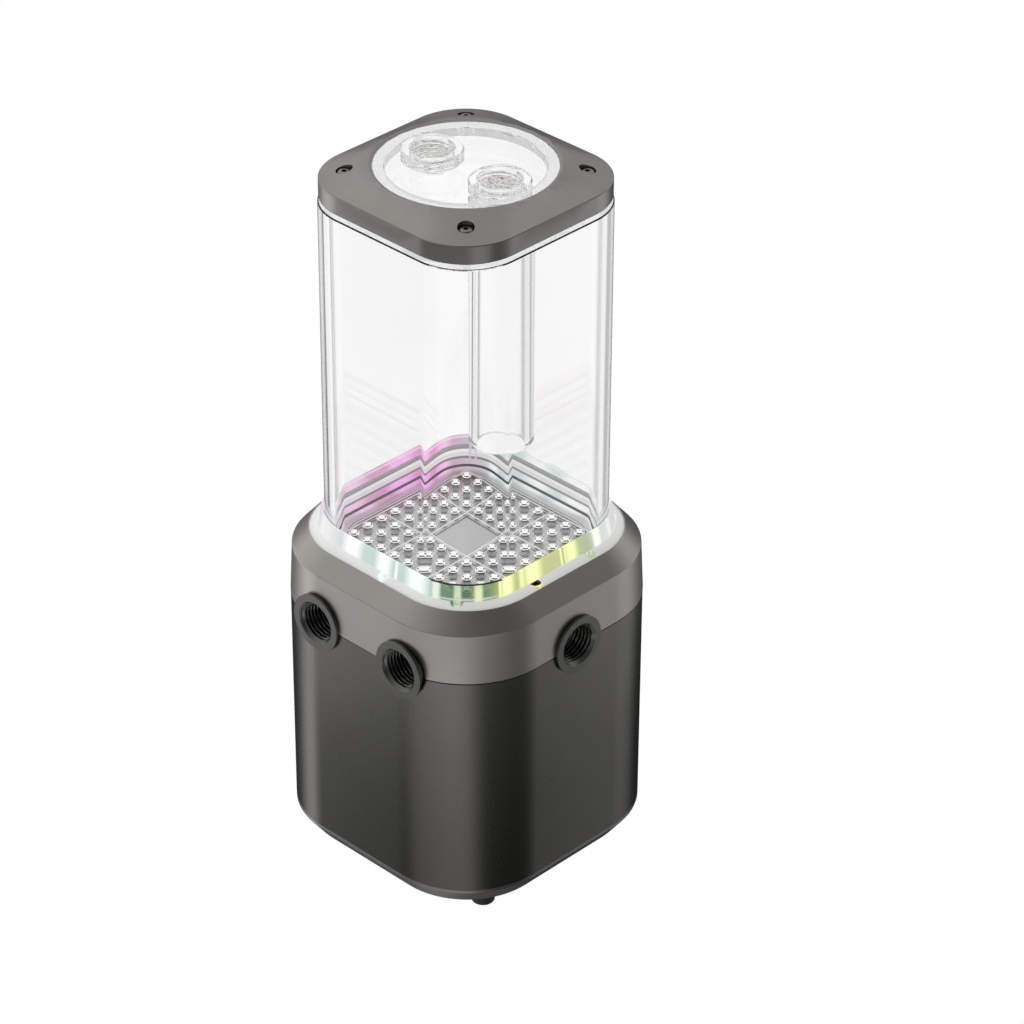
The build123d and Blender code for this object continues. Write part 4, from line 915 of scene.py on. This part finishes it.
def build_sleeve():
    loops = [
        at(outline(44.35, 27.1), 11.0), at(outline(46.25, 29.0), 11.0), at(outline(46.35, 29.1), 11.1),
        at(outline(46.35, 29.1), 86.6), at(outline(46.25, 29.0), 86.7), at(outline(44.35, 27.1), 86.7),
    ]
    sleeve = loft("casing_sleeve_metal", loops, DARK, closed=True, replaces=("casing_sleeve",), slot="dark_anodised", sharp=22)
    cutters = port_cutters(8.5)
    slot_loop = []
    for k in range(48):
        t = 2 * math.pi * k / 48
        x = 3.5 * math.cos(t) + (4.5 if math.cos(t) > 0 else -4.5)
        slot_loop.append((x, 20 + 3.5 * math.sin(t)))
    verts, faces = loops_mesh([[(x, 40.0, z) for x, z in slot_loop], [(x, 60.0, z) for x, z in slot_loop]], False)
    slot = make("cable_slot", verts, faces, None, body=None)
    fix_normals(slot)
    boolean(sleeve, cutters + [slot], sharp=22)


def build_bottom_plate():
    loops = [
        at(outline(40.1, 22.8), 8.6), at(outline(40.1, 22.8), 14.0), at(outline(44.1, 26.8), 14.0), at(outline(44.1, 26.8), 11.0),
        at(outline(46.2, 28.9), 11.0), at(outline(46.3, 29.0), 10.9), at(outline(46.3, 29.0), 9.94), at(outline(46.2, 28.9), 9.8),
        at(outline(42.1, 25.0), 4.25), at(outline(41.9, 24.8), 4.16),
    ]
    plate = loft("bottom_plate_metal", loops, GUNMETAL, replaces=("bottom_plate",), slot="gunmetal", sharp=22)
    cutters = []
    for sx in (-1, 1):
        for sy in (-1, 1):
            cutters.append(turned("sink", [(3.3, 0.0), (3.3, 2.76), (1.8, 2.76), (1.8, 12.0)], closed=False, segments=48, centre=(sx * 26.0, sy * 34.0, 4.0)))
            cutters.append(turned("sink", [(2.0, 0.0), (2.0, 12.0)], closed=False, segments=48, centre=(sx * 33.9, sy * 27.1, 4.0)))
    boolean(plate, cutters, sharp=22)


build_collar()
build_sleeve()
build_bottom_plate()


# ------------------------------------------------------------------ ports and feet
def build_port(name):
    centre, axis = PORTS[name]
    depth = 13.0

    def prof(t):
        inner = thread_profile(t, depth, 9.0, 7.0)
        outer = [(8.1, depth), (8.1, 1.0), (9.2, 1.0), (9.3, 0.9), (9.3, 0.12), (9.18, 0.0)]
        return inner + outer
    turned(name + "_threaded", prof, PORT, segments=96, centre=centre, axis=axis, body=ROOT, replaces=(name,), slot="port_metal", sharp=32)


for port_name in PORTS:
    build_port(port_name)


def build_feet():
    verts, faces, seg = [], [], 56
    for sx in (-1, 1):
        for sy in (-1, 1):
            base = len(verts)
            rings = [(2.0, 4.16), (2.0, 1.4), (2.9, 0.35), (3.2, 0.0), (3.45, 0.1), (3.65, 0.45), (3.65, 3.9), (3.55, 4.16)]
            for r, z in rings:
                verts += [(sx * 33.9 + r * math.cos(2 * math.pi * s / seg), sy * 27.1 + r * math.sin(2 * math.pi * s / seg), z) for s in range(seg)]
            m = len(rings)
            for k in range(m):
                for s in range(seg):
                    t = (s + 1) % seg
                    faces.append((base + k * seg + s, base + k * seg + t, base + ((k + 1) % m) * seg + t, base + ((k + 1) % m) * seg + s))
    obj = make("rubber_feet_moulded", verts, faces, RUBBER, replaces=("rubber_feet",), slot="black_rubber")
    fix_normals(obj)
    shade(obj, 40)


build_feet()

# ------------------------------------------------------------------ floor and light
floor_mesh = bpy.data.meshes.new("studio_floor")
floor_mesh.from_pydata([(-6, -6, 0), (6, -6, 0), (6, 6, 0), (-6, 6, 0)], [], [(0, 1, 2, 3)])
floor = bpy.data.objects.new("studio_floor", floor_mesh)
scene.collection.objects.link(floor)
floor_mat = bpy.data.materials.new("studio_white")
floor_mat.use_nodes = True
fn, fl = floor_mat.node_tree.nodes, floor_mat.node_tree.links
fn.remove(fn["Principled BSDF"])
glow = fn.new("ShaderNodeEmission")
glow.inputs["Color"].default_value = (1, 1, 1, 1)
glow.inputs["Strength"].default_value = 1.0
fl.new(glow.outputs[0], fn["Material Output"].inputs["Surface"])
floor_mesh.materials.append(floor_mat)
floor.visible_diffuse = False
floor.visible_glossy = False
floor.visible_shadow = False
floor.visible_transmission = False

world = bpy.data.worlds.new("studio")
scene.world = world
world.use_nodes = True
wn, wl = world.node_tree.nodes, world.node_tree.links
background = wn["Background"]


def grey_ramp(source, stops, low, high):
    """Brightness against an angle in degrees."""
    r = wn.new("ShaderNodeMapRange")
    r.inputs["From Min"].default_value, r.inputs["From Max"].default_value = math.radians(low), math.radians(high)
    wl.new(source, r.inputs["Value"])
    g = wn.new("ShaderNodeValToRGB")
    e = g.color_ramp.elements
    while len(e) < len(stops):
        e.new(0.5)
    for el, (deg, v) in zip(e, stops):
        el.position = (deg - low) / (high - low)
        el.color = (v, v, v, 1)
    wl.new(r.outputs[0], g.inputs["Fac"])
    return g.outputs["Color"]


def mixed(factor, a, b):
    m = wn.new("ShaderNodeMix")
    m.data_type = "RGBA"
    wl.new(factor, m.inputs["Factor"])
    wl.new(a, m.inputs["A"])
    if isinstance(b, tuple):
        m.inputs["B"].default_value = b
    else:
        wl.new(b, m.inputs["B"])
    return m.outputs["Result"]


wtc = wn.new("ShaderNodeTexCoord")
wsep = wn.new("ShaderNodeSeparateXYZ")
wl.new(wtc.outputs["Generated"], wsep.inputs[0])
azimuth = wn.new("ShaderNodeMath")
azimuth.operation = "ARCTAN2"
wl.new(wsep.outputs["Y"], azimuth.inputs[0])
wl.new(wsep.outputs["X"], azimuth.inputs[1])
elevation = wn.new("ShaderNodeMath")
elevation.operation = "ARCSINE"
wl.new(wsep.outputs["Z"], elevation.inputs[0])
LOWER = [(-180, 0.62), (-157, 0.85), (-138, 0.62), (-128, 0.45), (-112, 0.70), (-50, 0.70), (-30, 0.42), (-5, 0.22), (18, 0.20),
         (42, 0.42), (62, 0.50), (84, 0.26), (98, 0.12), (112, 0.05), (127, 0.04), (142, 0.08), (158, 0.25), (180, 0.62)]
UPPER = [(-180, 0.95), (-155, 0.72), (-120, 0.58), (-80, 0.32), (-45, 0.15), (0, 0.12), (38, 0.12), (56, 0.30), (80, 0.95), (98, 0.80), (110, 0.54), (134, 0.64), (155, 0.78), (180, 0.95)]
lower = grey_ramp(azimuth.outputs[0], LOWER, -180, 180)
upper = grey_ramp(azimuth.outputs[0], UPPER, -180, 180)
rise = wn.new("ShaderNodeMapRange")
rise.interpolation_type = "SMOOTHSTEP"
rise.inputs["From Min"].default_value, rise.inputs["From Max"].default_value = math.radians(-14), math.radians(16)
wl.new(elevation.outputs[0], rise.inputs["Value"])
studio = mixed(rise.outputs[0], lower, upper)
THROUGH = [(-180, 0.94), (-60, 0.96), (60, 0.94), (92, 0.94), (98, 0.50), (110, 0.50), (119, 1.0), (150, 1.0), (156, 0.95), (158, 0.50), (163.5, 0.50), (164.5, 0.0), (168.5, 0.0), (169.5, 0.55), (174, 0.94), (180, 0.94)]
through = grey_ramp(azimuth.outputs[0], THROUGH, -180, 180)
path = wn.new("ShaderNodeLightPath")
seen = mixed(path.outputs["Is Transmission Ray"], studio, through)
wl.new(mixed(path.outputs["Is Camera Ray"], seen, (1, 1, 1, 1)), background.inputs["Color"])


# a light tent round the table: soft boxes behind it show as broad lights in the metal
TENT_R = 0.40
BOXES_LOW = [(-180, 0.035), (-172, 0.17), (-163, 0.58), (-154, 1.05), (-146, 1.10), (-139, 0.28), (-134, 0.01), (-127, 0.0), (-115, 0.05), (-104, 0.28), (-75, 0.36), (-51, 0.42), (-43, 0.46),
             (-33, 0.17), (-26, 0.02), (28, 0.02), (37, 0.09), (44, 0.42), (58, 0.36), (69, 0.27), (78, 0.07), (88, 0.01), (150, 0.01), (180, 0.035)]
BOXES_MID = [(-180, 0.05), (-172, 0.17), (-163, 0.50), (-154, 1.05), (-146, 1.50), (-139, 1.10), (-131, 0.66), (-119, 0.80), (-110, 0.88), (-95, 0.95), (-60, 1.12), (-45, 0.95), (-36, 0.44),
             (-24, 0.20), (16, 0.13), (28, 0.22), (37, 0.48), (44, 0.76), (69, 0.60), (78, 0.24), (88, 0.06), (150, 0.02), (165, 0.03), (180, 0.05)]
BOXES_HIGH = [(-180, 0.26), (-172, 0.95), (-158, 1.20), (-142, 1.25), (-134, 0.50), (-124, 0.01), (-110, 0.05), (-60, 0.04), (-42, 0.06), (-33, 0.62), (-10, 0.65),
              (-2, 0.10), (16, 0.10), (26, 0.22), (38, 0.45), (44, 0.85), (70, 0.80), (80, 0.25), (95, 0.06), (120, 0.03), (150, 0.05), (168, 0.18), (180, 0.26)]
tent_points = [(TENT_R * math.cos(2 * math.pi * k / 180), TENT_R * math.sin(2 * math.pi * k / 180)) for k in range(180)]
tent_mesh = bpy.data.meshes.new("light_tent")
tent_mesh.from_pydata([(x, y, z) for z in (-0.75, 0.14) for x, y in tent_points], [],
                      [(k, (k + 1) % 180, 180 + (k + 1) % 180, 180 + k) for k in range(180)])
tent = bpy.data.objects.new("light_tent", tent_mesh)
scene.collection.objects.link(tent)
tent_mat = bpy.data.materials.new("tent_light")
tent_mat.use_nodes = True
tn, tl = tent_mat.node_tree.nodes, tent_mat.node_tree.links
tn.remove(tn["Principled BSDF"])


def tent_ramp(source, stops):
    r = tn.new("ShaderNodeMapRange")
    r.inputs["From Min"].default_value, r.inputs["From Max"].default_value = -math.pi, math.pi
    tl.new(source, r.inputs["Value"])
    g = tn.new("ShaderNodeValToRGB")
    e = g.color_ramp.elements
    while len(e) < len(stops):
        e.new(0.5)
    for el, (deg, v) in zip(e, stops):
        el.position = (deg + 180) / 360
        el.color = (v, v, v, 1)
    tl.new(r.outputs[0], g.inputs["Fac"])
    return g.outputs["Color"]


ttc = tn.new("ShaderNodeTexCoord")
tsep = tn.new("ShaderNodeSeparateXYZ")
tl.new(ttc.outputs["Object"], tsep.inputs[0])
tangle = tn.new("ShaderNodeMath")
tangle.operation = "ARCTAN2"
tl.new(tsep.outputs["Y"], tangle.inputs[0])
tl.new(tsep.outputs["X"], tangle.inputs[1])
tlevel = tn.new("ShaderNodeMapRange")
tlevel.interpolation_type = "SMOOTHSTEP"
tlevel.inputs["From Min"].default_value, tlevel.inputs["From Max"].default_value = -0.08, 0.0
tl.new(tsep.outputs["Z"], tlevel.inputs["Value"])
tmiddle = tn.new("ShaderNodeMapRange")
tmiddle.interpolation_type = "SMOOTHSTEP"
tmiddle.inputs["From Min"].default_value, tmiddle.inputs["From Max"].default_value = -0.192, -0.168
tl.new(tsep.outputs["Z"], tmiddle.inputs["Value"])
tpart = tn.new("ShaderNodeMix")
tpart.data_type = "RGBA"
tl.new(tmiddle.outputs[0], tpart.inputs["Factor"])
tl.new(tent_ramp(tangle.outputs[0], BOXES_LOW), tpart.inputs["A"])
tl.new(tent_ramp(tangle.outputs[0], BOXES_MID), tpart.inputs["B"])
tmix = tn.new("ShaderNodeMix")
tmix.data_type = "RGBA"
tl.new(tlevel.outputs[0], tmix.inputs["Factor"])
tl.new(tpart.outputs["Result"], tmix.inputs["A"])
tl.new(tent_ramp(tangle.outputs[0], BOXES_HIGH), tmix.inputs["B"])
tglow = tn.new("ShaderNodeEmission")
tl.new(tmix.outputs["Result"], tglow.inputs["Color"])
tl.new(tglow.outputs[0], tn["Material Output"].inputs["Surface"])
tent_mesh.materials.append(tent_mat)
tent.visible_camera = False
tent.visible_diffuse = False
tent.visible_transmission = False
tent.visible_shadow = False

# ------------------------------------------------------------------ camera
camera_data = bpy.data.cameras.new("camera")
camera = bpy.data.objects.new("camera", camera_data)
scene.collection.objects.link(camera)
right = Vector((0.71369232, 0.70044768, 0.0040396))
up_v = Vector((-0.3771139, 0.37937197, 0.84490355))
forward = Vector((-0.59027822, 0.60452456, -0.53490342))
camera.matrix_world = Matrix((
    (right.x, up_v.x, -forward.x, 0.74436470),
    (right.y, up_v.y, -forward.y, -0.74280734),
    (right.z, up_v.z, -forward.z, 0.77874556),
    (0, 0, 0, 1)))
camera_data.sensor_fit = "HORIZONTAL"
camera_data.sensor_width = 36.0
camera_data.lens = 145.477366
camera_data.clip_start, camera_data.clip_end = 0.01, 50.0
scene.camera = camera

scene.view_settings.view_transform = "Standard"
scene.view_settings.look = "None"
scene.cycles.max_bounces = 24
scene.cycles.transmission_bounces = 24
scene.cycles.glossy_bounces = 24
scene.cycles.diffuse_bounces = 3
scene.cycles.transparent_max_bounces = 8
scene.cycles.caustics_reflective = False
scene.cycles.caustics_refractive = True
scene.cycles.blur_glossy = 0.0
scene.cycles.sample_clamp_indirect = 4.0
scene.cycles.use_denoising = True
